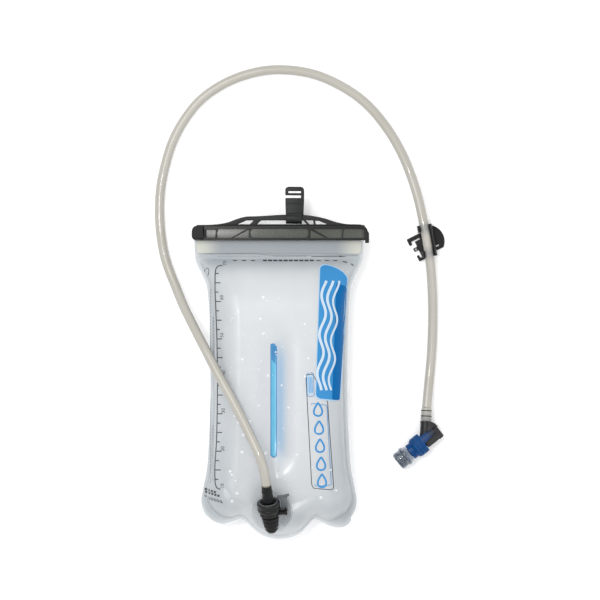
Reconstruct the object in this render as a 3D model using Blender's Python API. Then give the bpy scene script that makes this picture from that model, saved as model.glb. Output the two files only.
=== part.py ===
"""Hydration bladder lying on its back: welded film reservoir, slide closure, hose and bite valve.

Run with: blender --background --python part.py
Lengths below are millimetres; MM turns them into metres when a mesh is written.
The origin is the middle of the reservoir's footprint, +Y points to the hang hook, +Z up.
"""
import math

import bmesh
import bpy
import numpy as np
from mathutils import Matrix, Vector

MM = 0.001

# Reservoir: two film panels welded along a flat seam
FILM = 1.0              # stand-in for 0.3 mm film, thick enough to be a solid
GAP = 0.3               # clearance between pieces that touch
SEAM_Z = 27.0           # height of the weld plane
HALF_DEPTH = 27.0       # inflated height on each side of the weld plane
BAG_MIDDLE_X = -1.4
TOP_Y = 131.5           # where the film turns over, inside the slide rail
FOLD_Z = 29.25          # centre of that fold
FOLD_END_Y = 125.6      # how far the turned-over film comes back down
FLAT_Y = 104.0          # film lies flat above this line
FULL_Y = 50.0           # film is fully inflated below this line
WELD = 4.0              # width of the side and bottom weld
SIDE_ROUND = 28.0       # how far from the side weld the film reaches full height
FOOT_ROUND = 22.0       # the same from the bottom weld
BAFFLE_X = -6.6
BAFFLE_TOP_Y = 20.3
BAFFLE_FOOT_Y = -94.2
BAFFLE_DIP = 7.0
PORT_DIMPLE = 7.0

# Half width of the flat film along Y, and the scalloped bottom edge
HALF_WIDTHS = [
    (-154, 72.0), (-150, 74.6), (-145, 76.6), (-137, 77.6), (-127, 76.0), (-107, 72.2),
    (-77, 70.0), (-47, 68.8), (23, 69.0), (63, 70.5), (79, 72.8), (89, 77.2), (102, 83.2), (112, 84.2), (140, 84.3),
]
BOTTOM_EDGE = [
    (-77, -146), (-74.5, -151.5), (-70, -156.2), (-64, -159.6), (-58, -160.8), (-50, -159.0),
    (-41, -156.2), (-35, -158.2), (-29, -164.2), (-21, -170.8), (-12, -174.5), (0, -175.6),
    (11, -174.0), (20, -169.9), (27, -162.8), (33, -156.2), (42, -159.2), (50, -162.8),
    (58.5, -164.2), (65.5, -162.9), (71, -157.6), (75, -149),
]

# Slide closure
RAIL_HALF = 88.6
RAIL_FOOT_Y = 122.5
RAIL_TOP_Y = 137.2
RAIL_LOW_Z = 22.0
RAIL_HIGH_Z = 35.2
BAR_Y = 144.4           # centre line of the handle bar
BAR_SIZE = 4.2
HANDLE_Z = 28.6
SLIDE_Z = SEAM_Z

# Hang hook: it wraps the handle bar
HOOK_X = 14.3
HOOK_WIDTH = 19.0
HOOK_TOP_Y = 176.15

# Outlet port: in its frame Z runs out along the hose, X sideways and Y down into the reservoir
PORT_AT = Vector((-11.6, -140.4, 64.5))
PORT_AXIS = Vector((-0.106, 0.877, 0.469)).normalized()
PORT_SIDE = Vector((0.993, 0.12, 0.0)).normalized()
PLUG_OUT = 22.8         # where the free hose starts, along s
BORE = 5.3

# Hose
HOSE_D = 9.5
HOSE_ROUTE = [
    (-14.0, -120.4, 75.2), (-15.2, -111.5, 79.0), (-17.6, -101.0, 81.4), (-21.0, -91.0, 81.6),
    (-25.5, -81.0, 79.4), (-35.0, -61.0, 72.0), (-47.4, -37.2, 62.8), (-61.9, -11.2, 53.6),
    (-75.3, 14.5, 43.0), (-90.0, 42.9, 28.0), (-98.2, 59.9, 18.6), (-104.2, 74.9, 11.8),
    (-110.4, 89.9, 7.0), (-116.0, 107.0, 5.1), (-119.8, 129.0, 4.8), (-121.2, 152.9, 4.8),
    (-119.8, 175.9, 4.8), (-115.4, 197.9, 4.8), (-107.4, 222.9, 4.8), (-96.6, 242.9, 4.8),
    (-80.4, 262.9, 4.8), (-60.4, 277.4, 4.8), (-37.9, 287.4, 4.8), (-14.0, 292.9, 4.8),
    (10.0, 293.1, 4.8), (34.6, 288.6, 4.8), (59.6, 277.9, 4.8), (82.6, 262.4, 4.8),
    (104.6, 237.9, 4.8), (120.0, 212.9, 4.8), (131.0, 186.9, 5.6), (138.6, 161.9, 8.6),
    (143.1, 141.0, 10.2), (146.9, 121.9, 10.4), (149.8, 101.9, 10.2), (151.8, 76.9, 7.4),
    (152.6, 42.9, 4.9), (151.6, 12.9, 4.8), (148.6, -22.1, 6.0), (146.4, -45.1, 10.0),
]
HOSE_END = Vector((145.7, -58.6, 10.5))

# Hose clip and its strap hook
CLIP_AT = Vector((146.9, 121.9, 10.4))
CLIP_ALONG = Vector((0.186, -0.983, 0.0)).normalized()
STRAP_AT = Vector((147.6, 121.4, 0.2))
STRAP_TURN = math.radians(26.0)

# Bite valve: local s runs from the mouth face to the elbow
VALVE_AT = Vector((116.8, -100.15, 10.5))
VALVE_AXIS = Vector((0.783, 0.622, 0.0)).normalized()

BLACK = ((0.025, 0.026, 0.028), 0.45)
SMOKE = ((0.11, 0.115, 0.10), 0.35)
CLEAR = ((0.55, 0.58, 0.60), 0.2)
FILM_COLOUR = ((0.66, 0.70, 0.74), 0.25)
CREAM = ((0.72, 0.72, 0.68), 0.35)
BLUE = ((0.01, 0.09, 0.40), 0.35)
SKY = ((0.09, 0.42, 0.75), 0.35)
HOSE_COLOUR = ((0.42, 0.40, 0.36), 0.3)
SILICONE = ((0.62, 0.64, 0.66), 0.3)
STEEL = ((0.55, 0.55, 0.55), 0.3)
BROWN = ((0.05, 0.045, 0.05), 0.4)
RUBBER = ((0.012, 0.012, 0.012), 0.7)


# ---------------------------------------------------------------- helpers

def clear_scene():
    """Remove whatever the opened file holds."""
    for item in list(bpy.data.objects):
        bpy.data.objects.remove(item, do_unlink=True)


def paint(name, finish, metallic=0.0):
    """Make one Principled material from (colour, roughness)."""
    material = bpy.data.materials.new(name + "_material")
    material.use_nodes = True
    shader = material.node_tree.nodes["Principled BSDF"]
    shader.inputs["Base Color"].default_value = (*finish[0], 1.0)
    shader.inputs["Roughness"].default_value = finish[1]
    shader.inputs["Metallic"].default_value = metallic
    material.diffuse_color = (*finish[0], 1.0)
    return material


def placing(at, along, side):
    """Matrix whose local X is side, local Z is along and local Y is what makes it right-handed."""
    z = Vector(along).normalized()
    x = Vector(side).normalized()
    y = z.cross(x)
    turn = Matrix((x, y, z)).transposed().to_4x4()
    return Matrix.Translation(Vector(at) * MM) @ turn


def node(name, points, faces, finish, matrix=None, metallic=0.0):
    """Write one mesh object from millimetre points given in the frame of matrix."""
    mesh = bpy.data.meshes.new(name)
    mesh.from_pydata([tuple(float(value) * MM for value in point) for point in points], [], faces)
    work = bmesh.new()
    work.from_mesh(mesh)
    bmesh.ops.remove_doubles(work, verts=work.verts, dist=1e-7)
    bmesh.ops.recalc_face_normals(work, faces=work.faces)
    work.to_mesh(mesh)
    work.free()
    mesh.materials.append(paint(name, finish, metallic))
    item = bpy.data.objects.new(name, mesh)
    bpy.context.collection.objects.link(item)
    if matrix is not None:
        item.matrix_world = matrix
    bpy.context.view_layer.update()
    return item


def round_shade(item, angle=40.0):
    """Smooth shading with sharp edges kept."""
    item.data.shade_smooth()
    item.data.set_sharp_from_angle(angle=math.radians(angle))


def combine(target, tool, operation):
    """Join, cut or intersect two closed meshes and keep the result as a plain mesh."""
    step = target.modifiers.new(operation.lower(), "BOOLEAN")
    step.operation = operation
    step.solver = "EXACT"
    step.object = tool
    bpy.context.view_layer.update()
    graph = bpy.context.evaluated_depsgraph_get()
    result = bpy.data.meshes.new_from_object(target.evaluated_get(graph))
    target.modifiers.clear()
    old = target.data
    target.data = result
    bpy.data.meshes.remove(old)
    bpy.data.objects.remove(tool, do_unlink=True)
    while len(target.data.materials) > 1:
        target.data.materials.pop()
    return target


def revolve(name, profile, finish, matrix, segments=24, metallic=0.0):
    """Turn a closed (radius, s) outline about the frame's Z axis; radius 0 ends make a full solid."""
    solid = profile[0][0] == 0 and profile[-1][0] == 0
    verts = []
    rings = []
    for radius, s in profile:
        if radius == 0:
            rings.append([len(verts)] * segments)
            verts.append((0.0, 0.0, s))
            continue
        ring = []
        for index in range(segments):
            angle = 2 * math.pi * index / segments
            ring.append(len(verts))
            verts.append((radius * math.cos(angle), radius * math.sin(angle), s))
        rings.append(ring)
    pairs = list(zip(rings, rings[1:])) if solid else list(zip(rings, rings[1:] + rings[:1]))
    faces = []
    for low, high in pairs:
        for index in range(segments):
            following = (index + 1) % segments
            corners = [low[index], low[following], high[following], high[index]]
            unique = list(dict.fromkeys(corners))
            if len(unique) > 2:
                faces.append(unique)
    item = node(name, verts, faces, finish, matrix, metallic)
    round_shade(item)
    return item


def prism(name, outline, low, high, finish, matrix=None):
    """Raise a flat (x, y) outline from z = low to z = high."""
    count = len(outline)
    points = [(x, y, low) for x, y in outline] + [(x, y, high) for x, y in outline]
    faces = [list(range(count))[::-1], list(range(count, 2 * count))]
    for index in range(count):
        following = (index + 1) % count
        faces.append([index, following, count + following, count + index])
    return node(name, points, faces, finish, matrix)


def box(name, low, high, finish, matrix=None):
    """A block between two corners."""
    outline = [(low[0], low[1]), (high[0], low[1]), (high[0], high[1]), (low[0], high[1])]
    return prism(name, outline, low[2], high[2], finish, matrix)


def arc(centre, radius, start, stop, steps):
    """Points on a circle between two angles in degrees."""
    angles = [math.radians(start + (stop - start) * index / steps) for index in range(steps + 1)]
    return [(centre[0] + radius * math.cos(a), centre[1] + radius * math.sin(a)) for a in angles]


def rounded_box(low, high, radius, steps=3):
    """Outline of a rectangle with round corners."""
    (x0, y0), (x1, y1) = low, high
    outline = arc((x1 - radius, y1 - radius), radius, 0, 90, steps)
    outline += arc((x0 + radius, y1 - radius), radius, 90, 180, steps)
    outline += arc((x0 + radius, y0 + radius), radius, 180, 270, steps)
    outline += arc((x1 - radius, y0 + radius), radius, 270, 360, steps)
    return outline


def smooth_value(table, at):
    """Read a Catmull-Rom curve through (x, value) pairs at the places given."""
    x = np.array([row[0] for row in table], float)
    value = np.array([row[1] for row in table], float)
    slope = np.gradient(value, x)
    at = np.clip(np.asarray(at, float), x[0], x[-1])
    index = np.clip(np.searchsorted(x, at) - 1, 0, len(x) - 2)
    step = x[index + 1] - x[index]
    t = (at - x[index]) / step
    a = (1 + 2 * t) * (1 - t) ** 2 * value[index]
    b = t * (1 - t) ** 2 * step * slope[index]
    c = t * t * (3 - 2 * t) * value[index + 1]
    d = t * t * (t - 1) * step * slope[index + 1]
    return a + b + c + d


def smooth_route(points, spacing):
    """Evenly spaced points on the Catmull-Rom curve through a route."""
    route = np.array(points, float)
    chord = np.concatenate([[0], np.cumsum(np.linalg.norm(np.diff(route, axis=0), axis=1))])
    fine = np.linspace(0, chord[-1], 1200)
    curve = np.stack([smooth_value(list(zip(chord, route[:, k])), fine) for k in range(3)], axis=1)
    run = np.concatenate([[0], np.cumsum(np.linalg.norm(np.diff(curve, axis=0), axis=1))])
    count = max(2, int(round(run[-1] / spacing)))
    even = np.linspace(0, run[-1], count + 1)
    return np.stack([np.interp(even, run, curve[:, k]) for k in range(3)], axis=1), run[-1]


def swept(name, points, radius, finish, matrix=None, sides=3, metallic=0.0):
    """A round solid along a path: a poly curve with a bevel and filled caps."""
    curve = bpy.data.curves.new(name, "CURVE")
    curve.dimensions = "3D"
    curve.bevel_depth = radius * MM
    curve.bevel_resolution = sides
    curve.use_fill_caps = True
    line = curve.splines.new("POLY")
    line.points.add(len(points) - 1)
    for slot, point in zip(line.points, points):
        slot.co = (*(float(value) * MM for value in point), 1.0)
    curve.materials.append(paint(name, finish, metallic))
    item = bpy.data.objects.new(name, curve)
    bpy.context.collection.objects.link(item)
    if matrix is not None:
        item.matrix_world = matrix
    return item


def coil(name, radius, wire, turns, low, high, matrix):
    """A compression spring about the frame's Z axis."""
    steps = int(turns * 10)
    points = []
    for index in range(steps + 1):
        angle = 2 * math.pi * turns * index / steps
        height = low + wire + (high - low - 2 * wire) * index / steps
        points.append((radius * math.cos(angle), radius * math.sin(angle), height))
    return swept(name, points, wire, STEEL, matrix, sides=1, metallic=1.0)


# ---------------------------------------------------------------- film surfaces

def fill_level(y):
    """0 where the film lies flat under the rail, 1 where the reservoir is full."""
    share = np.clip((FLAT_Y - y) / (FLAT_Y - FULL_Y), 0, 1)
    return np.sin(share * math.pi / 2)


def bulge(x, y):
    """Share of the full depth: an ellipse rising from the side welds and the bottom weld."""
    side = smooth_value(HALF_WIDTHS, y) - np.abs(x - BAG_MIDDLE_X) - WELD
    foot = y - smooth_value(BOTTOM_EDGE, x) - WELD
    from_side = np.clip(1 - side / SIDE_ROUND, 0, None)
    from_foot = np.clip(1 - foot / FOOT_ROUND, 0, None)
    height = np.sqrt(np.clip(1 - from_side ** 2 - from_foot ** 2, 0, 1))
    return height * fill_level(y)


def baffle_pull(x, y, width):
    """How strongly the centre baffle holds the film in, 0 to 1."""
    across = np.exp(-((x - BAFFLE_X) / width) ** 2)
    above = 1 / (1 + np.exp((y - BAFFLE_TOP_Y - 6) / 7))
    below = 1 / (1 + np.exp((BAFFLE_FOOT_Y - 6 - y) / 7))
    return across * above * below


def front_height(x, y):
    """Height of the front film's inner face."""
    x = np.asarray(x, float)
    y = np.asarray(y, float)
    distance = np.hypot(x - PORT_AT.x, y - PORT_AT.y - 2)
    height = HALF_DEPTH * bulge(x, y) - BAFFLE_DIP * baffle_pull(x, y, 15) * bulge(x, y)
    height = height - PORT_DIMPLE * np.exp(-(distance / 17) ** 2) * bulge(x, y)
    return SEAM_Z + GAP / 2 + height


def back_height(x, y):
    """Height of the back film's inner face: it lies flat where it meets the ground."""
    x = np.asarray(x, float)
    y = np.asarray(y, float)
    depth = (HALF_DEPTH + 4) * bulge(x, y) - 8 * baffle_pull(x, y, 12) * bulge(x, y)
    return np.maximum(SEAM_Z - GAP / 2 - depth, FILM)


def fold_rows(across, height):
    """Rows of the film's turned-over top: back leg, then half a circle about the fold's centre."""
    x = BAG_MIDDLE_X + across * float(smooth_value(HALF_WIDTHS, TOP_Y))
    radius = FOLD_Z - float(height(0, TOP_Y))
    path = [(FOLD_END_Y, FOLD_Z + radius), (128.5, FOLD_Z + radius)]
    path += arc((TOP_Y, FOLD_Z), radius, 90, -54, 4)
    return [np.stack([x, np.full_like(x, y), np.full_like(x, z)], axis=1) for y, z in path]


def panel_grid(height):
    """Grid of film points, columns across and rows from the top to the bottom edge."""
    edge = [1.0, 0.972, 0.943, 0.935, 0.9, 0.84, 0.76, 0.66, 0.54, 0.4, 0.27, 0.17]
    across = np.array([-value for value in edge] + [-0.066] + edge[::-1])
    down = [0.0, 0.035, 0.088, 0.105, 0.125, 0.15, 0.18, 0.22, 0.27, 0.33, 0.4, 0.46, 0.55, 0.65]
    down = np.array(down + [0.74, 0.8, 0.845, 0.88, 0.91, 0.935, 0.955, 0.97, 0.98, 0.986, 1.0])
    rows = fold_rows(across, height)
    for share in down:
        corner = BAG_MIDDLE_X + across * 72.5
        y = TOP_Y + (smooth_value(BOTTOM_EDGE, corner) - TOP_Y) * share
        x = BAG_MIDDLE_X + across * smooth_value(HALF_WIDTHS, y)
        rows.append(np.stack([x, y, height(x, y)], axis=1))
    return np.array(rows)


def sheet(name, grid, thickness, finish, upward):
    """A closed solid between a grid of points and the same grid pushed out along its normals."""
    rows, columns = grid.shape[:2]
    along = np.gradient(grid, axis=0)
    across = np.gradient(grid, axis=1)
    normal = np.cross(across, along)
    normal /= np.linalg.norm(normal, axis=2, keepdims=True)
    normal *= np.sign(normal[rows // 2, columns // 2, 2]) * (1 if upward else -1)
    outer = grid + normal * thickness
    points = np.concatenate([grid.reshape(-1, 3), outer.reshape(-1, 3)])
    total = rows * columns
    faces = []
    for row in range(rows - 1):
        for column in range(columns - 1):
            a = row * columns + column
            quad = [a, a + 1, a + columns + 1, a + columns]
            faces.append(quad)
            faces.append([total + corner for corner in reversed(quad)])
    rim = [column for column in range(columns)]
    rim += [row * columns + columns - 1 for row in range(1, rows)]
    rim += [(rows - 1) * columns + column for column in range(columns - 2, -1, -1)]
    rim += [row * columns for row in range(rows - 2, 0, -1)]
    for first, second in zip(rim, rim[1:] + rim[:1]):
        faces.append([first, total + first, total + second, second])
    return node(name, points, faces, finish)


# ---------------------------------------------------------------- reservoir

def film_panels(port):
    """Front and back film; the front one has the hole that the port passes through."""
    front = sheet("bag_front_panel", panel_grid(front_height), FILM, FILM_COLOUR, True)
    barrel = revolve("hole", [(0, -36), (9.3, -36), (9.3, -8), (0, -8)], CLEAR, port)
    neck = revolve("hole", [(0, -40), (5.9, -40), (5.9, 4), (0, 4)], CLEAR, neck_frame(port))
    combine(barrel, neck, "UNION")
    combine(front, barrel, "DIFFERENCE")
    back = sheet("bag_back_panel", panel_grid(back_height), FILM, FILM_COLOUR, False)
    round_shade(front, 50)
    round_shade(back, 50)


def mouth_strips():
    """The stiff bands welded to both films under the rail."""
    strips = (("mouth_strip_front", SEAM_Z + 0.15 + FILM + GAP, 0.6),
              ("mouth_strip_back", SEAM_Z - 0.15 - FILM - GAP - 0.6, 0.6))
    for name, low, thick in strips:
        outline = rounded_box((-84.5, 106.6), (80.5, 121.8), 1.5)
        prism(name, outline, low, low + thick, CREAM)


def baffle():
    """Centre baffle: a key welded to the front film snaps into a channel on the back film."""
    length = BAFFLE_TOP_Y - BAFFLE_FOOT_Y
    middle = (BAFFLE_TOP_Y + BAFFLE_FOOT_Y) / 2
    top = float(front_height(BAFFLE_X, middle)) - GAP - 0.35
    foot = FILM + 4.9
    along = placing((BAFFLE_X, BAFFLE_FOOT_Y, 0), (0, 1, 0), (1, 0, 0))
    # In this frame local Y points down, so heights are written negative
    bead = SEAM_Z
    key = [(-3.25, -top), (3.25, -top), (3.25, -top + 1.2), (0.6, -top + 1.2)]
    key += [(0.6, -bead - 1.9)] + arc((0, -bead), 1.7, -60, 240, 8) + [(-0.6, -bead - 1.9)]
    key += [(-0.6, -top + 1.2), (-3.25, -top + 1.2)]
    prism("baffle_key", key, 0, length, SKY, along)
    lips = arc((0, -bead), 3.2, -50, 230, 10)
    inner = arc((0, -bead), 2.1, 230, -50, 10)
    channel = [(x, y) for x, y in lips + inner]
    cup = prism("baffle_channel", channel, 0, length, SKY, along)
    stem = [(-0.7, -bead + 2.9), (0.7, -bead + 2.9), (0.7, -foot - 1.2), (3.25, -foot - 1.2)]
    stem += [(3.25, -foot), (-3.25, -foot), (-3.25, -foot - 1.2), (-0.7, -foot - 1.2)]
    web = prism("web", stem, 0, length, SKY, along)
    combine(cup, web, "UNION")


# ---------------------------------------------------------------- outlet port

def neck_frame(port):
    """Frame at the barrel's inner end whose Z points down into the reservoir."""
    at = port @ (Vector((0, 0, -26.5)) * MM)
    down = port.to_3x3() @ Vector((0, 1, 0))
    return placing(at / MM, down, PORT_SIDE)


def port_flange():
    """Weld flange: a disc of sheet that follows the film just above it."""
    rings = np.linspace(3.0, 20.5, 8)
    angles = np.linspace(0, 2 * math.pi, 33)
    radius, angle = np.meshgrid(rings, angles, indexing="ij")
    x = PORT_AT.x + 3.6 + radius * np.cos(angle)
    y = PORT_AT.y - 8.0 + radius * np.sin(angle)
    z = front_height(x, y)
    slope_x = (front_height(x + 0.5, y) - front_height(x - 0.5, y))
    slope_y = (front_height(x, y + 0.5) - front_height(x, y - 0.5))
    normal = np.stack([-slope_x, -slope_y, np.ones_like(z)], axis=2)
    normal /= np.linalg.norm(normal, axis=2, keepdims=True)
    low = np.stack([x, y, z], axis=2) + normal * (FILM + 1.3)
    high = low + normal * 1.4
    points = []
    faces = []
    count = len(angles) - 1
    for layer in (low, high):
        for ring in layer:
            points += [tuple(point) for point in ring[:count]]
    total = len(rings) * count
    for ring in range(len(rings) - 1):
        for index in range(count):
            a = ring * count + index
            b = ring * count + (index + 1) % count
            quad = [a, b, b + count, a + count]
            faces.append(quad)
            faces.append([total + corner for corner in reversed(quad)])
    for index in range(count):
        following = (index + 1) % count
        outer = (len(rings) - 1) * count
        faces.append([outer + index, outer + following, total + outer + following, total + outer + index])
    faces.append(list(range(count))[::-1])
    faces.append([total + index for index in range(count)])
    return node("port_housing", points, faces, CLEAR)


def port_housing(port):
    """Clear moulding: weld flange, socket barrel, inlet neck and the guard beside the button."""
    housing = port_flange()
    barrel = [(0, -0.4), (8.8, -0.4), (8.8, -21), (7.6, -27), (5.6, -33.4), (4.6, -34.2), (0, -34.2)]
    combine(housing, revolve("barrel", barrel, CLEAR, port, 32), "UNION")
    neck = revolve("neck", [(0, -2), (5.4, -2), (5.4, 12.5), (0, 12.5)], CLEAR, neck_frame(port))
    combine(housing, neck, "UNION")
    guard = [(8.2, -12), (17, -12), (18.8, -10.6)] + arc((13.6, 1.5), 5.2, 0, 90, 5) + [(12, 6.7), (12, 1)]
    guard += [(12.3, -6.6), (8.2, -11.2)]
    turned = [(x, -s) for x, s in guard]
    flat = port @ Matrix.Rotation(math.radians(-90), 4, "X")
    combine(housing, prism("guard", turned, 1.7, 3.2, CLEAR, flat), "UNION")
    bore = [(0, 1), (7.6, 1), (7.6, -10.5), (BORE, -10.5), (BORE, -26), (3.9, -26.4), (3.9, -32), (0, -32)]
    cavity = revolve("bore", bore, CLEAR, port, 32)
    inlet = revolve("inlet", [(0, -1), (2.8, -1), (2.8, 14), (0, 14)], CLEAR, neck_frame(port), 16)
    combine(cavity, inlet, "UNION")
    slot = box("slot", (-12.0, -7.7, -10.3), (12.0, 7.7, -7.0), CLEAR, port)
    wall = box("wall", (-3.0, -9.5, -12.0), (3.0, 9.5, -5.0), CLEAR, port)
    combine(slot, wall, "DIFFERENCE")
    combine(cavity, slot, "UNION")
    combine(housing, cavity, "DIFFERENCE")
    round_shade(housing)
    return housing


def port_inside(port):
    """What the socket holds: collar, seat, button with its spring, and the check valve."""
    collar = [(9.1, -6.8), (9.1, -0.1), (6.0, -0.1), (6.0, 1.0), (9.2, 1.0), (9.8, 0.2), (11.0, -0.4)]
    collar += [(11.5, -1.6), (11.5, -5.6), (10.8, -6.8)]
    revolve("lock_collar", collar, BLACK, port, 32)
    revolve("valve_seat", [(3.0, -19.0), (5.0, -19.0), (5.0, -17.8), (3.0, -17.8)], BLACK, port)
    plate = rounded_box((-9.6, -7.0), (8.6, 7.0), 3.0, 3)
    button = prism("release_button", plate, -10.1, -7.3, BLACK, port)
    tongue = box("tongue", (8.0, -6.4, -10.1), (14.0, -0.9, -7.3), BLACK, port)
    combine(button, tongue, "UNION")
    pad = prism("pad", rounded_box((13.6, -6.6), (17.2, 1.3), 0.8, 2), -11.0, -6.4, BLACK, port)
    combine(button, pad, "UNION")
    hole = prism("hole", rounded_box((-5.7, -5.7), (7.4, 5.7), 5.6, 5), -12, -6, BLACK, port)
    combine(button, hole, "DIFFERENCE")
    sideways = placing(port @ (Vector((0, 0.3, -8.7)) * MM) / MM, PORT_SIDE, PORT_AXIS)
    coil("release_spring", 0.8, 0.18, 5, 8.95, 13.3, sideways)
    poppet = [(0, -22.8), (4.4, -22.8), (4.4, -24.2), (1.2, -24.6), (1.2, -31.0), (0, -31.0)]
    revolve("check_poppet", poppet, BLACK, port)
    revolve("poppet_seal", [(3.2, -22.5), (4.3, -22.5), (4.3, -21.7), (3.2, -21.7)], RUBBER, port)
    coil("check_spring", 2.6, 0.3, 4, -31.7, -24.9, port)


def plug(port):
    """The hose's plug: shaft with two O-rings in the socket, barb for the hose."""
    body = [(4.3, 0.8), (5.4, 1.2), (5.4, 2.6), (3.2, 2.9), (3.2, 8), (3.6, 8.4), (3.0, 11.5)]
    body += [(3.2, 14), (3.6, 14.4), (3.0, 17.5), (3.2, 19), (2.6, 21.6), (2.1, 21.6)]
    body += [(2.1, -17.0), (1.7, -17.4), (1.7, -22.4), (2.6, -22.4), (2.6, -17.2), (4.3, -16.8)]
    for middle in (-15.4, -12.6):
        body += [(4.3, middle - 1.05), (3.5, middle - 1.05), (3.5, middle + 1.05), (4.3, middle + 1.05)]
    revolve("plug_body", body, BLACK, port)
    for index, middle in enumerate((-12.6, -15.4)):
        ring = arc((4.4, middle), 0.7, 0, 315, 7)
        revolve(f"plug_oring_{index + 1}", ring, RUBBER, port)


# ---------------------------------------------------------------- hose

def hose():
    """Free hose, and its two ends stretched over the barbs."""
    path, length = smooth_route(HOSE_ROUTE, HOSE_D * 1.35)
    swept("drink_tube", path, HOSE_D / 2, HOSE_COLOUR, None, 3)
    port = placing(PORT_AT, PORT_AXIS, PORT_SIDE)
    start = [(3.9, 3.0), (5.5, 3.0), (5.6, 8), (5.5, 18), (4.9, PLUG_OUT - 0.8), (3.9, PLUG_OUT - 0.8)]
    revolve("tube_end_port", start, HOSE_COLOUR, port)
    end = Vector(HOSE_ROUTE[-1])
    along = (HOSE_END - end).normalized()
    reach = (HOSE_END - end).length
    frame = placing(end, along, along.cross(Vector((0, 0, 1))))
    sleeve = [(3.9, 1.0), (4.9, 1.0), (5.4, 4), (5.4, reach - 0.3), (3.9, reach - 0.3)]
    revolve("tube_end_valve", sleeve, HOSE_COLOUR, frame)
    return frame, reach


def hose_clip():
    """Sleeve that snaps on the hose: two closed ends, one open flank."""
    frame = placing(CLIP_AT, CLIP_ALONG, CLIP_ALONG.cross(Vector((0, 0, 1))))
    outline = arc((0, 0), 7.4, -42, 222, 18) + arc((0, 0), 6.1, 222, -42, 18)
    clip = prism("hose_clip", outline, -16.5, 16.0, BLACK, frame)
    window = box("window", (0.5, -9, -9.8), (9, 9, 9.4), BLACK, frame)
    combine(clip, window, "DIFFERENCE")
    round_shade(clip)


def strap_hook():
    """Turning plate under the clip: half disc with a slot, and a comb that hooks a strap."""
    frame = Matrix.Translation(STRAP_AT * MM) @ Matrix.Rotation(STRAP_TURN, 4, "Z")
    disc = arc((0.7, 0), 16.3, -47.5, 96, 18)
    comb = [(-1.0, 11.2), (-18.2, 11.0), (-18.2, 3.8), (-15.2, 3.8), (-15.2, 7.0), (-6.0, 7.2)]
    comb += [(-6.0, 5.6), (-11.8, 5.4), (-11.8, 0.0), (-16.4, 0.0), (-16.4, -3.6), (-11.8, -3.6)]
    comb += [(-11.8, -11.4), (-13.9, -11.4), (-13.9, -8.2), (-16.3, -8.2), (-16.3, -14.4), (-4, -14.4)]
    comb += [(-2.0, -12.2)]
    plate = prism("strap_hook", disc + comb, 0, 2.4, BLACK, frame)
    slot = prism("slot", rounded_box((5.2, -8.8), (8.8, -7.1), 0.8), -1, 4, BLACK, frame)
    combine(plate, slot, "DIFFERENCE")
    eye = prism("eye", arc((-14.2, -1.8), 1.0, 0, 315, 7), -1, 4, BLACK, frame)
    combine(plate, eye, "DIFFERENCE")


# ---------------------------------------------------------------- bite valve

def bite_valve(tube_frame, reach):
    """Elbow on the hose end, twist shut-off, stem and silicone bite piece."""
    valve = placing(VALVE_AT, VALVE_AXIS, Vector((0, 0, 1)))
    back = [(0, 29.0), (5.0, 29.0), (5.0, 34.2), (7.6, 34.2), (7.6, 51.8), (6.2, 53.8), (0, 53.8)]
    elbow = revolve("valve_elbow", back, BROWN, valve)
    arm = [(0, reach), (5.5, reach), (5.5, reach + 16), (0, reach + 16)]
    combine(elbow, revolve("arm", arm, BROWN, tube_frame), "UNION")
    barb = [(0, reach + 2), (3.2, reach + 2), (3.2, reach - 4.2), (3.6, reach - 4.8), (3.1, reach - 8)]
    barb += [(3.2, reach - 9.2), (3.6, reach - 9.8), (2.7, 1.6), (0, 1.6)]
    combine(elbow, revolve("barb", barb, BROWN, tube_frame), "UNION")
    waterway = revolve("waterway", [(0, 20), (2.2, 20), (2.2, 46), (0, 46)], BROWN, valve, 16)
    combine(elbow, waterway, "DIFFERENCE")
    drill = [(0, -1), (1.9, -1), (1.9, reach + 16), (0, reach + 16)]
    combine(elbow, revolve("drill", drill, BROWN, tube_frame, 16), "DIFFERENCE")
    round_shade(elbow)
    revolve("elbow_oring", arc((5.75, 30.6), 0.65, 0, 315, 7), RUBBER, valve)
    collar = [(6.6, 29.0), (6.6, 33.9), (9.6, 33.9), (10.4, 33.2), (10.4, 24.0), (9.4, 22.0), (8.2, 21.4)]
    collar += [(8.2, 16.4), (5.2, 16.4), (5.2, 19), (6.6, 20)]
    knob = revolve("shutoff_collar", collar, BLUE, valve, 28)
    outline = arc((0, 0), 10.2, -36, 4, 5) + arc((0, 0), 8.0, 4, -36, 5)
    paddle = prism("paddle", outline, 30.0, 48.5, BLUE, valve)
    combine(knob, paddle, "UNION")
    round_shade(knob)
    stem = [(0, 8.0), (4.6, 8.0), (4.8, 12.0), (4.8, 28.4), (3.0, 28.4), (3.0, 12.0), (0, 12.0)]
    revolve("valve_stem", stem, BLUE, valve)
    soft = [(0, 0.4), (8.0, 0.4), (8.8, 1.4), (9.2, 6), (9.9, 10.5), (9.6, 12.5), (8.4, 15.9)]
    soft += [(5.2, 15.9), (5.2, 7.4), (0, 7.4)]
    revolve("bite_valve", soft, SILICONE, valve, 28)


# ---------------------------------------------------------------- closure and hook

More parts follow.
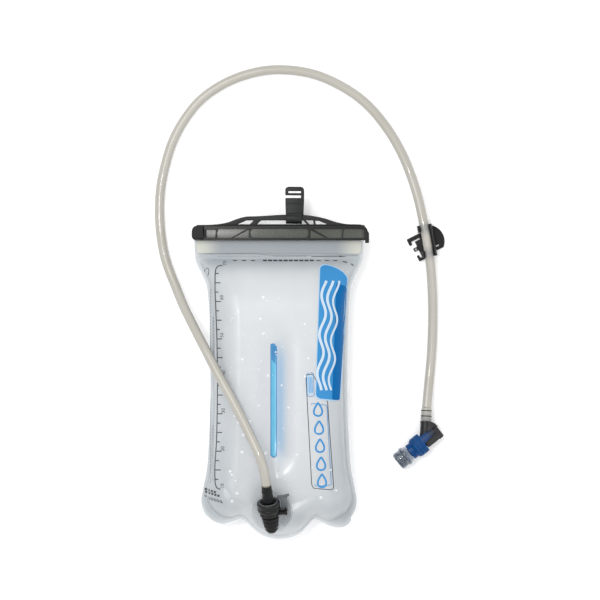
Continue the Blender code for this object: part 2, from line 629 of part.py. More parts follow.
def slide_rail():
    """C-channel that slides over the folded top of the film."""
    along = placing((-RAIL_HALF, 0, 0), (1, 0, 0), (0, 1, 0))
    # local X is +Y, local Y is +Z
    low, high = RAIL_LOW_Z, RAIL_HIGH_Z
    outline = [(RAIL_FOOT_Y, low), (RAIL_TOP_Y - 3, low), (RAIL_TOP_Y, low + 3), (RAIL_TOP_Y, high - 3)]
    outline += [(RAIL_TOP_Y - 3, high), (RAIL_FOOT_Y, high), (RAIL_FOOT_Y, SLIDE_Z + 1.6)]
    outline += [(RAIL_FOOT_Y + 2, SLIDE_Z + 1.6), (RAIL_FOOT_Y + 2, high - 2), (RAIL_TOP_Y - 3, high - 2)]
    outline += [(RAIL_TOP_Y - 2, high - 3), (RAIL_TOP_Y - 2, low + 3), (RAIL_TOP_Y - 3, low + 2)]
    outline += [(RAIL_FOOT_Y + 2, low + 2), (RAIL_FOOT_Y + 2, SLIDE_Z - 1.6), (RAIL_FOOT_Y, SLIDE_Z - 1.6)]
    rail = prism("slide_rail", outline, 0, 2 * RAIL_HALF, SMOKE, along)
    end = box("end", (RAIL_FOOT_Y, low, 0), (RAIL_TOP_Y - 0.5, high, 1.8), SMOKE, along)
    combine(rail, end, "UNION")
    latch = prism("latch", [(84.6, 119.6), (88.6, 119.6), (88.6, 125.2), (86.0, 125.2)], RAIL_HIGH_Z - 3.4, RAIL_HIGH_Z, SMOKE)
    combine(rail, latch, "UNION")
    return rail


def rail_handle():
    """Arched bar above the rail, with the foot that clasps the rail's back edge and its struts."""
    low, high = HANDLE_Z - 2.1, HANDLE_Z + 2.1
    top = [(-88.3, 137.9), (-87, 138.6), (-60, 138.0), (-46.8, 142.2), (-34.8, 146.0), (-25.4, 146.5)]
    top += [(34.9, 146.5), (46.9, 143.3), (57.6, 139.6), (67, 138.0), (85, 137.9), (88.3, 137.6)]
    rise = [(-60, 138.0), (-52, 140.0), (-44, 143.4), (-34.8, 146.2), (-25.4, 146.6), (34.9, 146.4)]
    rise += [(44, 144.2), (54, 140.8), (64, 138.6), (80, 138.2)]
    outer = [(-84, 137.6)] + rise + [(84, 137.6)]
    handle = prism("rail_handle", [(-84, 137.5), (84, 137.5)] + outer[::-1][1:-1], low, high, BLACK)
    windows = [
        [(-41.5, 138.3), (-30.4, 138.3), (-26.6, 142.4), (-34.0, 142.4)],
        [(-23.4, 138.3), (26.6, 138.3), (22.8, 142.0), (22.8, 142.4), (-19.2, 142.4)],
        [(29.0, 138.3), (33.4, 138.3), (32.6, 142.4), (25.2, 142.4)],
        [(35.2, 138.3), (46.0, 138.3), (38.0, 141.8), (34.6, 142.0)],
    ]
    for outline in windows:
        combine(handle, prism("window", outline, low - 2, high + 2, BLACK), "DIFFERENCE")
    return handle


def hang_hook():
    """Webbing hook: two slots at the top, a curl at the foot that turns on the handle bar."""
    x0 = HOOK_X - HOOK_WIDTH / 2
    x1 = HOOK_X + HOOK_WIDTH / 2
    plate = rounded_box((x0, 148.0), (x1, HOOK_TOP_Y), 3.2, 4)
    hook = prism("hang_hook", plate, HANDLE_Z - 1.6, HANDLE_Z + 2.0, BLACK)
    ring = arc((BAR_Y, HANDLE_Z), 5.6, 0, 340, 17)
    across = placing((x0 + 0.6, 0, 0), (1, 0, 0), (0, 1, 0))
    roll = prism("roll", ring, 0, HOOK_WIDTH - 2.8, BLACK, across)
    combine(hook, roll, "UNION")
    hole = prism("hole", arc((BAR_Y, HANDLE_Z), 3.5, 0, 345, 23), -2, HOOK_WIDTH + 2, BLACK, across)
    combine(hook, hole, "DIFFERENCE")
    upper = prism("slot", rounded_box((x0 + 3.2, 169.8), (x1 - 3.2, 171.5), 0.6), 20, 40, BLACK)
    combine(hook, upper, "DIFFERENCE")
    lower = box("slot", (x0 - 2, 164.8, 20), (x1 - 3.2, 167.3, 40), BLACK)
    combine(hook, lower, "DIFFERENCE")
    return hook


def build():
    """Make every piece."""
    clear_scene()
    port = placing(PORT_AT, PORT_AXIS, PORT_SIDE)
    film_panels(port)
    mouth_strips()
    baffle()
    port_housing(port)
    port_inside(port)
    plug(port)
    tube_frame, reach = hose()
    hose_clip()
    strap_hook()
    bite_valve(tube_frame, reach)
    slide_rail()
    rail_handle()
    hang_hook()


build()
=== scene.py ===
"""Hydration bladder on a table: film reservoir, slide closure, hang hook, drinking hose and bite valve.

Lengths in this file are millimetres in the model's own frame (+Y to the hang hook, +Z up);
MM turns them into metres when a mesh is written.
"""
import math

import bmesh
import bpy
import numpy as np
from bpy.props import FloatProperty, FloatVectorProperty, IntProperty, PointerProperty
from mathutils import Matrix, Vector


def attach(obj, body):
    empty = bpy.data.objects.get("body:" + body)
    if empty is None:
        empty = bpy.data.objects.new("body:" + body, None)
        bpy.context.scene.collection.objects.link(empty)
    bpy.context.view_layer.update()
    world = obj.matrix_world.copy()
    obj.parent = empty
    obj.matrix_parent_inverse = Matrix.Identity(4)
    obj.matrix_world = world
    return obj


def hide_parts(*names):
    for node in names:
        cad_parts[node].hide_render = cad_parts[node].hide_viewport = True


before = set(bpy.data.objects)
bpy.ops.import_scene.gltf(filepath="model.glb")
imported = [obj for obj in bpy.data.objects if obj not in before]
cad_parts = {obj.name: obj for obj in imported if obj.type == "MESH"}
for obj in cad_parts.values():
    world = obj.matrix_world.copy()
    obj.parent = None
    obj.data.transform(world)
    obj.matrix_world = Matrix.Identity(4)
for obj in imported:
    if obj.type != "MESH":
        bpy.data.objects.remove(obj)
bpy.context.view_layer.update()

bl_info = {
    "name": "Hydration bladder",
    "version": (1, 0, 0),
    "blender": (4, 5, 0),
    "location": "View3D > Sidebar > Bladder",
    "description": "Builds a film reservoir with its slide closure, hook, drinking hose and bite valve",
    "category": "Object",
}

MM = 0.001

# Reservoir
SEAM_Z = 27.0
HALF_DEPTH = 27.0
BAG_MIDDLE_X = -1.4
TOP_Y = 131.5
FOLD_Z = 29.25
FOLD_END_Y = 125.6
FLAT_Y = 104.0
FULL_Y = 50.0
WELD = 4.0
FRONT_LIFT, BACK_DROP = 0.5, 0.8
SIDE_ROUND = 28.0
FOOT_ROUND = 22.0
FOOT_HALF = 72.5
BAFFLE_X = -6.6
BAFFLE_TOP_Y = 20.3
BAFFLE_FOOT_Y = -94.2
HALF_WIDTHS = [
    (-154, 72.0), (-150, 74.6), (-145, 76.6), (-137, 77.6), (-127, 76.0), (-107, 72.2),
    (-77, 70.0), (-47, 68.8), (23, 69.0), (63, 70.5), (79, 72.8), (89, 77.2), (102, 83.2), (112, 84.2),
    (140, 84.3),
]
BOTTOM_EDGE = [
    (-77, -146), (-74.5, -151.5), (-70, -156.2), (-64, -159.6), (-58, -160.8), (-50, -159.0),
    (-41, -156.2), (-35, -158.2), (-29, -164.2), (-21, -170.8), (-12, -174.5), (0, -175.6),
    (11, -174.0), (20, -169.9), (27, -162.8), (33, -156.2), (42, -159.2), (50, -162.8),
    (58.5, -164.2), (65.5, -162.9), (71, -157.6), (75, -149),
]
# Soft creases of the front film: start, end, width, depth
CREASES = [
    ((-80, 104), (-50, 66), 5.0, 0.9), ((-72, 84), (-60, 40), 4.0, 0.7), ((80, 104), (52, 66), 5.0, 0.8),
    ((70, 84), (61, 30), 4.0, 0.8), ((61, 30), (60, -60), 3.4, 0.6), ((-60, 10), (-61, -70), 4.5, 0.5),
    ((-56, -122), (-48, -137), 2.2, 1.0), ((-48, -137), (-26, -144), 2.2, 1.0),
    ((64, -118), (44, -142), 3.0, 0.9), ((6, -143), (34, -132), 3.0, 0.6), ((-6.6, 24), (-8, 48), 5.0, 0.8),
    ((-6.6, -98), (-4, -116), 5.0, 0.7), ((-28, -150), (-52, -152), 3.2, 0.7),
    ((8, -156), (28, -152), 3.0, 0.6), ((52, -126), (62, -150), 3.5, 0.7), ((-20, 92), (-24, 60), 7.0, 0.5),
    ((24, 92), (20, 58), 7.0, 0.5), ((-44, 94), (-40, 66), 6.0, 0.5),
]

# Outlet port: in its frame Z runs out along the hose, X sideways and Y down into the reservoir
PORT_AT = Vector((-11.6, -140.4, 64.5))
PORT_AXIS = Vector((-0.106, 0.877, 0.469)).normalized()
PORT_SIDE = Vector((0.993, 0.12, 0.0)).normalized()
PLUG_OUT = 22.8
FLANGE_X, FLANGE_Y = PORT_AT.x + 3.6, PORT_AT.y - 8.0

# Hose: its centre line from the port to the bite valve
HOSE_ROUTE = [
    (-14.0, -120.4, 75.2), (-15.2, -111.5, 79.0), (-17.6, -101.0, 81.4), (-21.0, -91.0, 81.6),
    (-25.5, -81.0, 79.4), (-35.0, -61.0, 72.0), (-47.4, -37.2, 62.8), (-61.9, -11.2, 53.6),
    (-75.3, 14.5, 43.0), (-90.0, 42.9, 28.0), (-98.2, 59.9, 18.6), (-104.2, 74.9, 11.8),
    (-110.4, 89.9, 7.0), (-116.0, 107.0, 5.1), (-119.8, 129.0, 4.8), (-121.2, 152.9, 4.8),
    (-119.8, 175.9, 4.8), (-115.4, 197.9, 4.8), (-107.4, 222.9, 4.8), (-96.6, 242.9, 4.8),
    (-80.4, 262.9, 4.8), (-60.4, 277.4, 4.8), (-37.9, 287.4, 4.8), (-14.0, 292.9, 4.8),
    (10.0, 293.1, 4.8), (34.6, 288.6, 4.8), (59.6, 277.9, 4.8), (82.6, 262.4, 4.8),
    (104.6, 237.9, 4.8), (120.0, 212.9, 4.8), (131.0, 186.9, 5.6), (138.6, 161.9, 8.6),
    (143.1, 141.0, 10.2), (146.9, 121.9, 10.4), (149.8, 101.9, 10.2), (151.8, 76.9, 7.4),
    (152.6, 42.9, 4.9), (151.6, 12.9, 4.8), (148.6, -22.1, 6.0), (146.4, -45.1, 10.0),
]
HOSE_END = Vector((145.7, -58.6, 10.5))
HOSE_STEP = 4.0

CLIP_AT = Vector((146.9, 121.9, 10.4))
CLIP_ALONG = Vector((0.186, -0.983, 0.0)).normalized()
STRAP_AT = Vector((147.6, 121.4, 0.2))
STRAP_TURN = math.radians(26.0)
VALVE_AT = Vector((116.8, -100.15, 10.5))
VALVE_AXIS = Vector((0.783, 0.622, 0.0)).normalized()

RAIL_HALF = 88.6
BAR_Y = 144.4
HANDLE_Z = 28.6
HOOK_X = 14.3

# Prints start flat at this height, then drop; what is left above FILM_TOP has missed the film
DROP_FROM = 110.0
FILM_TOP = 100.0

# View: width shown at the table's height and the point in its middle, in metres
VIEW_WIDTH = 0.6
VIEW_MIDDLE = (0.0196, 0.06285)


def linear(code):
    """sRGB hex code to linear colour: the low part is divided by 12.92, the rest follows the 2.4 power."""
    value = np.array([int(code[index:index + 2], 16) for index in (0, 2, 4)]) / 255.0
    value = np.where(value <= 0.04045, value / 12.92, ((value + 0.055) / 1.055) ** 2.4)
    return (*(float(part) for part in value), 1.0)


def colour(name, description, code):
    """A colour setting whose default is an sRGB hex code."""
    return FloatVectorProperty(name=name, description=description, subtype="COLOR", size=4, min=0, max=1,
                               default=linear(code))


# ---------------------------------------------------------------- settings

class BladderFilm(bpy.types.PropertyGroup):
    """Reservoir film."""
    # full and edge are the two ends of the film's painted shade: bright, and painted darkest
    full: colour("Full", "Film where it stands clear of the back", "D3D6D9")
    edge: colour("Edge", "Film where two layers lie together", "7A868D")
    cover: FloatProperty(name="Cover", description="How much of what lies behind the film it hides",
                         subtype="FACTOR", min=0, max=1, default=0.66)
    crease: FloatProperty(name="Crease", description="Scale of the soft creases", subtype="FACTOR",
                          min=0, max=2, default=1.0)
    beads: IntProperty(name="Beads", description="Water beads on the film", min=0, max=400, default=110)


class BladderInk(bpy.types.PropertyGroup):
    """Screen printing on the film."""
    black: colour("Black", "Scale and lines", "171B1F")
    light: colour("Light blue", "Panel's lit side", "3A84BA")
    deep: colour("Deep blue", "Panel's deep side", "005A98")
    line: FloatProperty(name="Line", description="Width of a printed line", unit="LENGTH",
                        min=0.0001, max=0.003, default=0.0009)


class BladderHose(bpy.types.PropertyGroup):
    """Drinking hose."""
    diameter: FloatProperty(name="Diameter", description="Outside diameter", unit="LENGTH",
                            min=0.004, max=0.02, default=0.0095)
    tint: colour("Tint", "Hose wall", "ABA8A1")
    bore: colour("Bore", "Colour seen through the edge of the wall", "5E5C57")


class BladderMould(bpy.types.PropertyGroup):
    """Moulded parts."""
    black: colour("Black", "Handle, hook, clip and collar", "0C0C0D")
    smoke: colour("Smoke", "Clear grey panels of the rail", "4A4C45")
    blue: colour("Blue", "Shut-off collar", "003263")
    grain: FloatProperty(name="Grain", description="Size of the spark-eroded grain", unit="LENGTH",
                         min=0.0001, max=0.003, default=0.0007)


class BladderStage(bpy.types.PropertyGroup):
    """Floor, light and camera."""
    floor: colour("Floor", "Table top", "FBFBFB")
    sky: FloatProperty(name="Sky", description="Strength of the even light", min=0, max=5, default=0.95)
    key: FloatProperty(name="Key", description="Power of the soft light above", subtype="POWER",
                       min=0, max=500, default=26.0)
    glow: FloatProperty(name="Glow", description="Light given off by the table", min=0, max=1, default=0.09)
    distance: FloatProperty(name="Distance", description="Camera above the object", unit="LENGTH",
                            min=1, max=20, default=8.0)


# ---------------------------------------------------------------- curves and surfaces

def smooth_value(table, at):
    """Cubic Hermite curve through (x, value) rows, slopes by central differences, read at many x."""
    x, value = np.array(table, float).T
    slope = np.gradient(value, x)
    at = np.clip(np.asarray(at, float), x[0], x[-1])
    index = np.clip(np.searchsorted(x, at) - 1, 0, len(x) - 2)
    step = x[index + 1] - x[index]
    t = (at - x[index]) / step
    ends = (1 + 2 * t) * (1 - t) ** 2 * value[index] + t * t * (3 - 2 * t) * value[index + 1]
    return ends + step * (t * (1 - t) ** 2 * slope[index] + t * t * (t - 1) * slope[index + 1])


def smooth_route(points, spacing):
    """The same curve through points in space, against chord length, re-spaced evenly along itself."""
    route = np.array(points, float)
    chord = np.concatenate([[0], np.cumsum(np.linalg.norm(np.diff(route, axis=0), axis=1))])
    fine = np.linspace(0, chord[-1], 2400)
    curve = np.stack([smooth_value(np.stack([chord, column], axis=1), fine) for column in route.T], axis=1)
    run = np.concatenate([[0], np.cumsum(np.linalg.norm(np.diff(curve, axis=0), axis=1))])
    even = np.linspace(0, run[-1], max(2, int(round(run[-1] / spacing))) + 1)
    return np.stack([np.interp(even, run, column) for column in curve.T], axis=1), float(run[-1])


def arc(centre, radius, start, stop, steps):
    """Points on a circle: centre plus radius times (cosine, sine) of evenly spaced degrees."""
    angle = np.radians(np.linspace(start, stop, steps + 1))
    return np.stack([centre[0] + radius * np.cos(angle), centre[1] + radius * np.sin(angle)], axis=1)


def rounded(points, radius, steps=5):
    """Polygon with its corners eased: a quadratic curve from radius before a corner to radius after it."""
    corner = np.array(points, float)
    before, after = np.roll(corner, 1, axis=0) - corner, np.roll(corner, -1, axis=0) - corner
    cut = np.broadcast_to(np.asarray(radius, float), (len(corner),))[:, None]
    reach = [np.linalg.norm(side, axis=1, keepdims=True) for side in (before, after)]
    start = corner + before / reach[0] * np.minimum(cut, 0.45 * reach[0])
    stop = corner + after / reach[1] * np.minimum(cut, 0.45 * reach[1])
    t = np.linspace(0, 1, steps + 1)[None, :, None]
    curve = (1 - t) ** 2 * start[:, None] + 2 * t * (1 - t) * corner[:, None] + t * t * stop[:, None]
    return curve.reshape(-1, 2)


def placing(at, along, side):
    """Matrix in metres whose local X is side, local Z is along, and local Y is Z cross X."""
    z = Vector(along).normalized()
    x = Vector(side).normalized()
    turn = Matrix((x, z.cross(x), z)).transposed().to_4x4()
    return Matrix.Translation(Vector(at) * MM) @ turn


def hose_end_seat():
    """Frame at the hose's last point with Z towards the valve, and how far it is from there to the elbow."""
    end = Vector(HOSE_ROUTE[-1])
    along = (HOSE_END - end).normalized()
    return placing(end, along, along.cross(Vector((0, 0, 1)))), (HOSE_END - end).length


def grid_faces(rows, columns, round_rows=False, round_columns=False):
    """Quads of a grid numbered row by row; a round direction closes on itself."""
    row = np.arange(rows if round_rows else rows - 1)[:, None]
    column = np.arange(columns if round_columns else columns - 1)[None, :]
    below, right = (row + 1) % rows, (column + 1) % columns
    corners = [row * columns + column, row * columns + right, below * columns + right,
               below * columns + column]
    return np.stack(np.broadcast_arrays(*corners), axis=-1).reshape(-1, 4)


def piece(name, points, faces, look, body, matrix=None, fields=None, angle=38.0, turn=True):
    """Write a mesh in place, merge its doubles, face it outwards and let it ride on a body."""
    mesh = bpy.data.meshes.new(name)
    mesh.from_pydata((np.asarray(points, float).reshape(-1, 3) * MM).tolist(), [], np.asarray(faces).tolist())
    for key, value in (fields or {}).items():
        mesh.attributes.new(key, "FLOAT", "POINT").data.foreach_set("value", np.asarray(value, float).ravel())
    if matrix is not None:
        mesh.transform(matrix)
    return finish_piece(name, mesh, look, body, angle, turn)


def finish_piece(name, mesh, look, body, angle=38.0, turn=True):
    """The common end of every piece: doubles merged, normals outwards, smooth shading with sharp edges."""
    work = bmesh.new()
    work.from_mesh(mesh)
    bmesh.ops.remove_doubles(work, verts=work.verts, dist=3e-6)
    if turn:
        bmesh.ops.recalc_face_normals(work, faces=work.faces)
    work.to_mesh(mesh)
    work.free()
    mesh.materials.clear()
    mesh.materials.append(look)
    mesh.shade_smooth()
    mesh.set_sharp_from_angle(angle=math.radians(angle))
    item = bpy.data.objects.new(name, mesh)
    bpy.context.collection.objects.link(item)
    if body:
        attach(item, body)
    return item


def joined(name, items, body):
    """One piece from several like ones that ride on nothing yet."""
    work = bmesh.new()
    look = items[0].data.materials[0]
    for item in items:
        work.from_mesh(item.data)
        data = item.data
        bpy.data.objects.remove(item, do_unlink=True)
        bpy.data.meshes.remove(data)
    mesh = bpy.data.meshes.new(name)
    work.to_mesh(mesh)
    work.free()
    return finish_piece(name, mesh, look, body)


def lathe(name, profile, look, body, matrix, soft=0.3, segments=64, ripple=None, angle=38.0):
    """Turn a (radius, s) profile about the frame's Z.

    Each corner of the profile is first eased by soft. Position = (r cos a, r sin a, s). An open profile
    starts and ends on the axis, a closed one is a ring. ripple(a, s, r) gives a radius in place of r.
    """
    profile = np.array(profile, float)
    ring = profile[0][0] > 1e-6
    if soft:
        steps = 3
        eased = rounded(profile, soft, steps)
        inner = eased[steps + 1:-steps - 1]
        profile = eased if ring else np.concatenate([profile[:1], inner, profile[-1:]])
    turn = np.linspace(0, 2 * math.pi, segments, endpoint=False)[None, :]
    radius, s = profile[:, :1] + 0 * turn, profile[:, 1:] + 0 * turn
    if ripple:
        radius = ripple(turn + 0 * radius, s, radius)
    grid = np.stack([radius * np.cos(turn), radius * np.sin(turn), s], axis=2)
    return piece(name, grid, grid_faces(len(profile), segments, ring, True), look, body, matrix,
                 {"run": s}, angle)


def tube(name, path, radius, look, body, sides=24, fields=None):
    """Round tube along a path: each ring lies across the path, on a level side vector and its upright.

    fields are {name: function of the tube's points} giving one value per point.
    """
    path = np.asarray(path, float)
    ahead = np.gradient(path, axis=0)
    ahead /= np.linalg.norm(ahead, axis=1, keepdims=True)
    side = np.cross(ahead, [0.0, 0.0, 1.0])
    side /= np.linalg.norm(side, axis=1, keepdims=True)
    up = np.cross(side, ahead)
    turn = np.linspace(0, 2 * math.pi, sides, endpoint=False)[None, :, None]
    size = np.broadcast_to(np.asarray(radius, float), (len(path),))[:, None, None]
    rings = path[:, None] + size * (np.cos(turn) * side[:, None] + np.sin(turn) * up[:, None])
    caps = [np.repeat(path[end][None, None], sides, axis=1) for end in (0, -1)]
    grid = np.concatenate([caps[0], rings, caps[1]])
    run = np.concatenate([[0], np.cumsum(np.linalg.norm(np.diff(path, axis=0), axis=1))])
    run = np.repeat(np.concatenate([run[:1], run, run[-1:]])[:, None], sides, axis=1)
    return piece(name, grid, grid_faces(len(grid), sides, False, True), look, body, None,
                 {"run": run, **{key: value(grid) for key, value in (fields or {}).items()}})


def plate(name, outlines, low, high, look, body, matrix=None, bevel=0.3, steps=2):
    """Flat outlines, the later ones holes, raised from low to high with round edges."""
    curve = bpy.data.curves.new(name, "CURVE")
    curve.dimensions = "2D"
    curve.fill_mode = "BOTH"
    curve.extrude = ((high - low) / 2 - bevel) * MM
    curve.bevel_depth = bevel * MM
    curve.bevel_resolution = steps
    curve.offset = -bevel * MM
    for outline in outlines:
        outline = np.asarray(outline, float) * MM
        line = curve.splines.new("POLY")
        line.points.add(len(outline) - 1)
        flat = np.concatenate([outline, np.zeros((len(outline), 1)), np.ones((len(outline), 1))], axis=1)
        line.points.foreach_set("co", flat.ravel())
        line.use_cyclic_u = True
    shape = bpy.data.objects.new(name + "_outline", curve)
    bpy.context.collection.objects.link(shape)
    mesh = bake(shape)
    mesh.transform(Matrix.Translation((0, 0, (low + high) / 2 * MM)))
    if matrix is not None:
        mesh.transform(matrix)
    return finish_piece(name, mesh, look, body)


def bake(item):
    """Keep an object's finished mesh and remove the object."""
    bpy.context.view_layer.update()
    graph = bpy.context.evaluated_depsgraph_get()
    mesh = bpy.data.meshes.new_from_object(item.evaluated_get(graph))
    data = item.data
    bpy.data.objects.remove(item, do_unlink=True)
    (bpy.data.curves if isinstance(data, bpy.types.Curve) else bpy.data.meshes).remove(data)
    return mesh


# ---------------------------------------------------------------- film shape

def bulge(x, y):
    """Share of the full depth: an ellipse rising from the side and bottom welds, times the fill level.

    The fill level is a sine that grows from 0 at FLAT_Y to 1 at FULL_Y.
    """
    side = smooth_value(HALF_WIDTHS, y) - np.abs(x - BAG_MIDDLE_X) - WELD
    foot = y - smooth_value(BOTTOM_EDGE, x) - WELD
    from_side, from_foot = np.clip(1 - side / SIDE_ROUND, 0, None), np.clip(1 - foot / FOOT_ROUND, 0, None)
    level = np.sin(np.clip((FLAT_Y - y) / (FLAT_Y - FULL_Y), 0, 1) * math.pi / 2)
    return np.sqrt(np.clip(1 - from_side ** 2 - from_foot ** 2, 0, 1)) * level


def baffle_pull(x, y, width):
    """How strongly the centre baffle holds the film: a bell across it, a soft step at each end."""
    across = np.exp(-((x - BAFFLE_X) / width) ** 2)
    return across / (1 + np.exp((y - BAFFLE_TOP_Y - 6) / 7)) / (1 + np.exp((BAFFLE_FOOT_Y - 6 - y) / 7))


def creased(x, y):
    """Sum of soft valleys: minus depth times a bell of the distance to each crease's line."""
    total = np.zeros_like(x)
    for start, stop, width, depth in CREASES:
        start, reach = np.array(start, float), np.subtract(stop, start).astype(float)
        share = np.clip(((x - start[0]) * reach[0] + (y - start[1]) * reach[1]) / (reach @ reach), 0, 1)
        away = np.hypot(x - start[0] - share * reach[0], y - start[1] - share * reach[1])
        fade = np.sin(np.clip(share, 0.04, 0.96) * math.pi) ** 0.5
        total -= depth * fade * np.exp(-(away / width) ** 2)
    return total


def front_height(x, y, crease=0.0):
    """Height of the front film.

    Seam height plus bulge times the depth there: half the depth, less the dips at the baffle and the port,
    plus the creases.
    """
    full = bulge(x, y)
    away = np.hypot(x - PORT_AT.x, y - PORT_AT.y - 2)
    dip = 7 * baffle_pull(x, y, 15) + 7 * np.exp(-(away / 17) ** 2)
    return SEAM_Z + 0.15 + (HALF_DEPTH - dip + crease * creased(x, y)) * full


def back_height(x, y):
    """Height of the back film: the same below the seam, cut off flat where it lies on the table."""
    depth = ((HALF_DEPTH + 4) - 8 * baffle_pull(x, y, 12)) * bulge(x, y)
    return np.maximum(SEAM_Z - 0.15 - depth, 1.0)


def film_painted_shade(x, y):
    """Painted shade of the film: 0 where it is painted darkest and grey, 1 where it is bright.

    It starts at 1 and loses painted shade: a bell about the fill line, a slow ramp towards each side,
    two soft steps on the way to the foot and a patch beside the port; bare welds gain a little.
    """
    aside = np.abs(x - BAG_MIDDLE_X) / smooth_value(HALF_WIDTHS, y)
    tone = 1 - 0.62 * np.exp(-((y - 104) / 12) ** 2) * np.clip(1.12 - aside ** 4, 0, 1)
    tone -= 0.42 * np.clip((aside - 0.42) / 0.5, 0, 1) ** 1.6
    tone -= 0.16 / (1 + np.exp((y + 130) / 8))
    tone -= 0.12 / (1 + np.exp((y + 70) / 16))
    tone -= 0.24 * np.exp(-((x - 22) / 12) ** 2 - ((y + 158) / 10) ** 2)
    tone += 0.16 * np.exp(-((1 - aside) / 0.03) ** 2)
    tone += 0.30 * np.exp(-((y - smooth_value(BOTTOM_EDGE, x)) / 4.5) ** 2)
    return np.clip(tone, 0, 1)


def film_grid(height, across, down):
    """Film points: rows run over the fold in the rail, then down to the scalloped bottom edge.

    Row share t gives y = top + (bottom edge - top) t; column u gives x = middle + u times half width.
    """
    fold_x = BAG_MIDDLE_X + across * float(smooth_value(HALF_WIDTHS, TOP_Y))
    radius = FOLD_Z - float(height(np.zeros(1), np.full(1, TOP_Y))[0])
    fold = np.concatenate([[(FOLD_END_Y, FOLD_Z + radius), (128.5, FOLD_Z + radius)],
                           arc((TOP_Y, FOLD_Z), radius, 90, -54, 10)])
    rows = [np.stack([fold_x, np.full_like(fold_x, y), np.full_like(fold_x, z)], axis=1) for y, z in fold]
    foot = smooth_value(BOTTOM_EDGE, BAG_MIDDLE_X + across * FOOT_HALF)
    y = TOP_Y + (foot[None, :] - TOP_Y) * down[:, None]
    x = BAG_MIDDLE_X + across[None, :] * smooth_value(HALF_WIDTHS, y)
    return np.concatenate([np.array(rows), np.stack([x, y, height(x, y)], axis=2)])


# ---------------------------------------------------------------- materials

def add(tree, kind, output, values):
    """Add one node and give back (node, output).

    A value sets a property or an input by name or number. A (node, output) pair is wired to its input.
    """
    item = tree.nodes.new(kind)
    for key, value in values.items():
        if isinstance(value, tuple) and isinstance(value[0], bpy.types.Node):
            tree.links.new(value[0].outputs[value[1]], item.inputs[key])
        elif isinstance(key, str) and hasattr(item, key):
            setattr(item, key, value)
        else:
            item.inputs[key].default_value = value
    return item, output


def noise(tree, size, detail=2.0):
    """Noise fixed to the object, its grain size metres across."""
    where = add(tree, "ShaderNodeTexCoord", "Object", {})
    return add(tree, "ShaderNodeTexNoise", "Fac", {"Scale": 1 / size, "Detail": detail, "Vector": where})


def field(tree, name):
    """A value that the mesh carries at each of its points."""
    return add(tree, "ShaderNodeAttribute", "Fac", {"attribute_name": name})


def facing(tree, bend):
    """0 where the surface faces the eye, 1 at its outline."""
    return add(tree, "ShaderNodeLayerWeight", "Facing", {"Blend": bend})


def ranged(tree, value, low, high, start=0.0, stop=1.0, ease="LINEAR"):
    """Value between start and stop, mapped to low and high."""
    return add(tree, "ShaderNodeMapRange", 0, {
        "interpolation_type": ease, "From Min": start, "From Max": stop, "To Min": low, "To Max": high,
        "Value": value})


def blend(tree, share, first, second):
    """Colour between first and second."""
    return add(tree, "ShaderNodeMix", 2, {"data_type": "RGBA", 0: share, 6: first, 7: second})


def reckon(tree, operation, first, second=0.0, third=0.0, clamp=False):
    """One sum on plain or wired values."""
    return add(tree, "ShaderNodeMath", 0, {
        "operation": operation, "use_clamp": clamp, 0: first, 1: second, 2: third})


def bump(tree, height, strength, depth, under=None):
    """Relief of the given depth in metres, laid over another where there is one."""
    values = {"Strength": strength, "Distance": depth, "Height": height}
    return add(tree, "ShaderNodeBump", 0, {**values, "Normal": under} if under else values)


def new_look(name, sockets):
    """An empty material with its shader, plain values set on the shader's own sockets."""
    look = bpy.data.materials.new(name)
    look.use_nodes = True
    shader = look.node_tree.nodes["Principled BSDF"]
    for key, value in sockets.items():
        shader.inputs[key].default_value = value
    return look, look.node_tree, shader


def wired(look, shader, shade, gloss, relief):
    """Join the colour, the roughness where it varies and the relief to the shader."""
    for key, value in (("Base Color", shade), ("Roughness", gloss), ("Normal", relief)):
        if value:
            look.node_tree.links.new(value[0].outputs[value[1]], shader.inputs[key])
    return look


def mottled(name, first, second, blotch, grain, depth, rough, **sockets):
    """A moulded or rolled surface: two close shades in blotches, grain in the bump and roughness.

    blotch and grain are sizes in millimetres, depth is the relief in millimetres, rough is (low, high).
    A shade is a hex code or a setting's colour.
    """
    look, tree, shader = new_look(name, {key.replace("_", " "): value for key, value in sockets.items()})
    shades = [linear(shade) if isinstance(shade, str) else tuple(shade) for shade in (first, second)]
    shade = blend(tree, noise(tree, blotch * MM, 3.0), *shades)
    fine = noise(tree, grain * MM)
    return wired(look, shader, shade, ranged(tree, fine, *rough), bump(tree, fine, 0.6, depth * MM))


def film_look(settings):
    """Calendered polyurethane film: milky and softly glossy, its colour pulled towards edge by painted shade.
    """
    look, tree, shader = new_look("calendered_polyurethane_film", {
        "Alpha": settings.cover, "IOR": 1.5, "Coat Weight": 0.35, "Coat Roughness": 0.16})
    # 34 mm clouds: the film's thickness changes slowly
    cloud = reckon(tree, "MULTIPLY_ADD", noise(tree, 0.034), 0.22, -0.11)
    # painted shade: the full field darkens the film from its full colour towards edge
    depth = reckon(tree, "ADD", field(tree, "full"), cloud, clamp=True)
    shade = blend(tree, depth, tuple(settings.edge), tuple(settings.full))
    # Blue light from the baffle spills into the milky film beside it
    shade = blend(tree, field(tree, "glow"), shade, linear("6FAEDC"))
    # 5 mm ripple and 0.9 mm orange peel from the calender rolls
    ripple = noise(tree, 0.005)
    relief = bump(tree, noise(tree, 0.0009, 1.0), 0.2, 0.00003, bump(tree, ripple, 0.35, 0.00025))
    return wired(look, shader, shade, ranged(tree, ripple, 0.24, 0.42), relief)


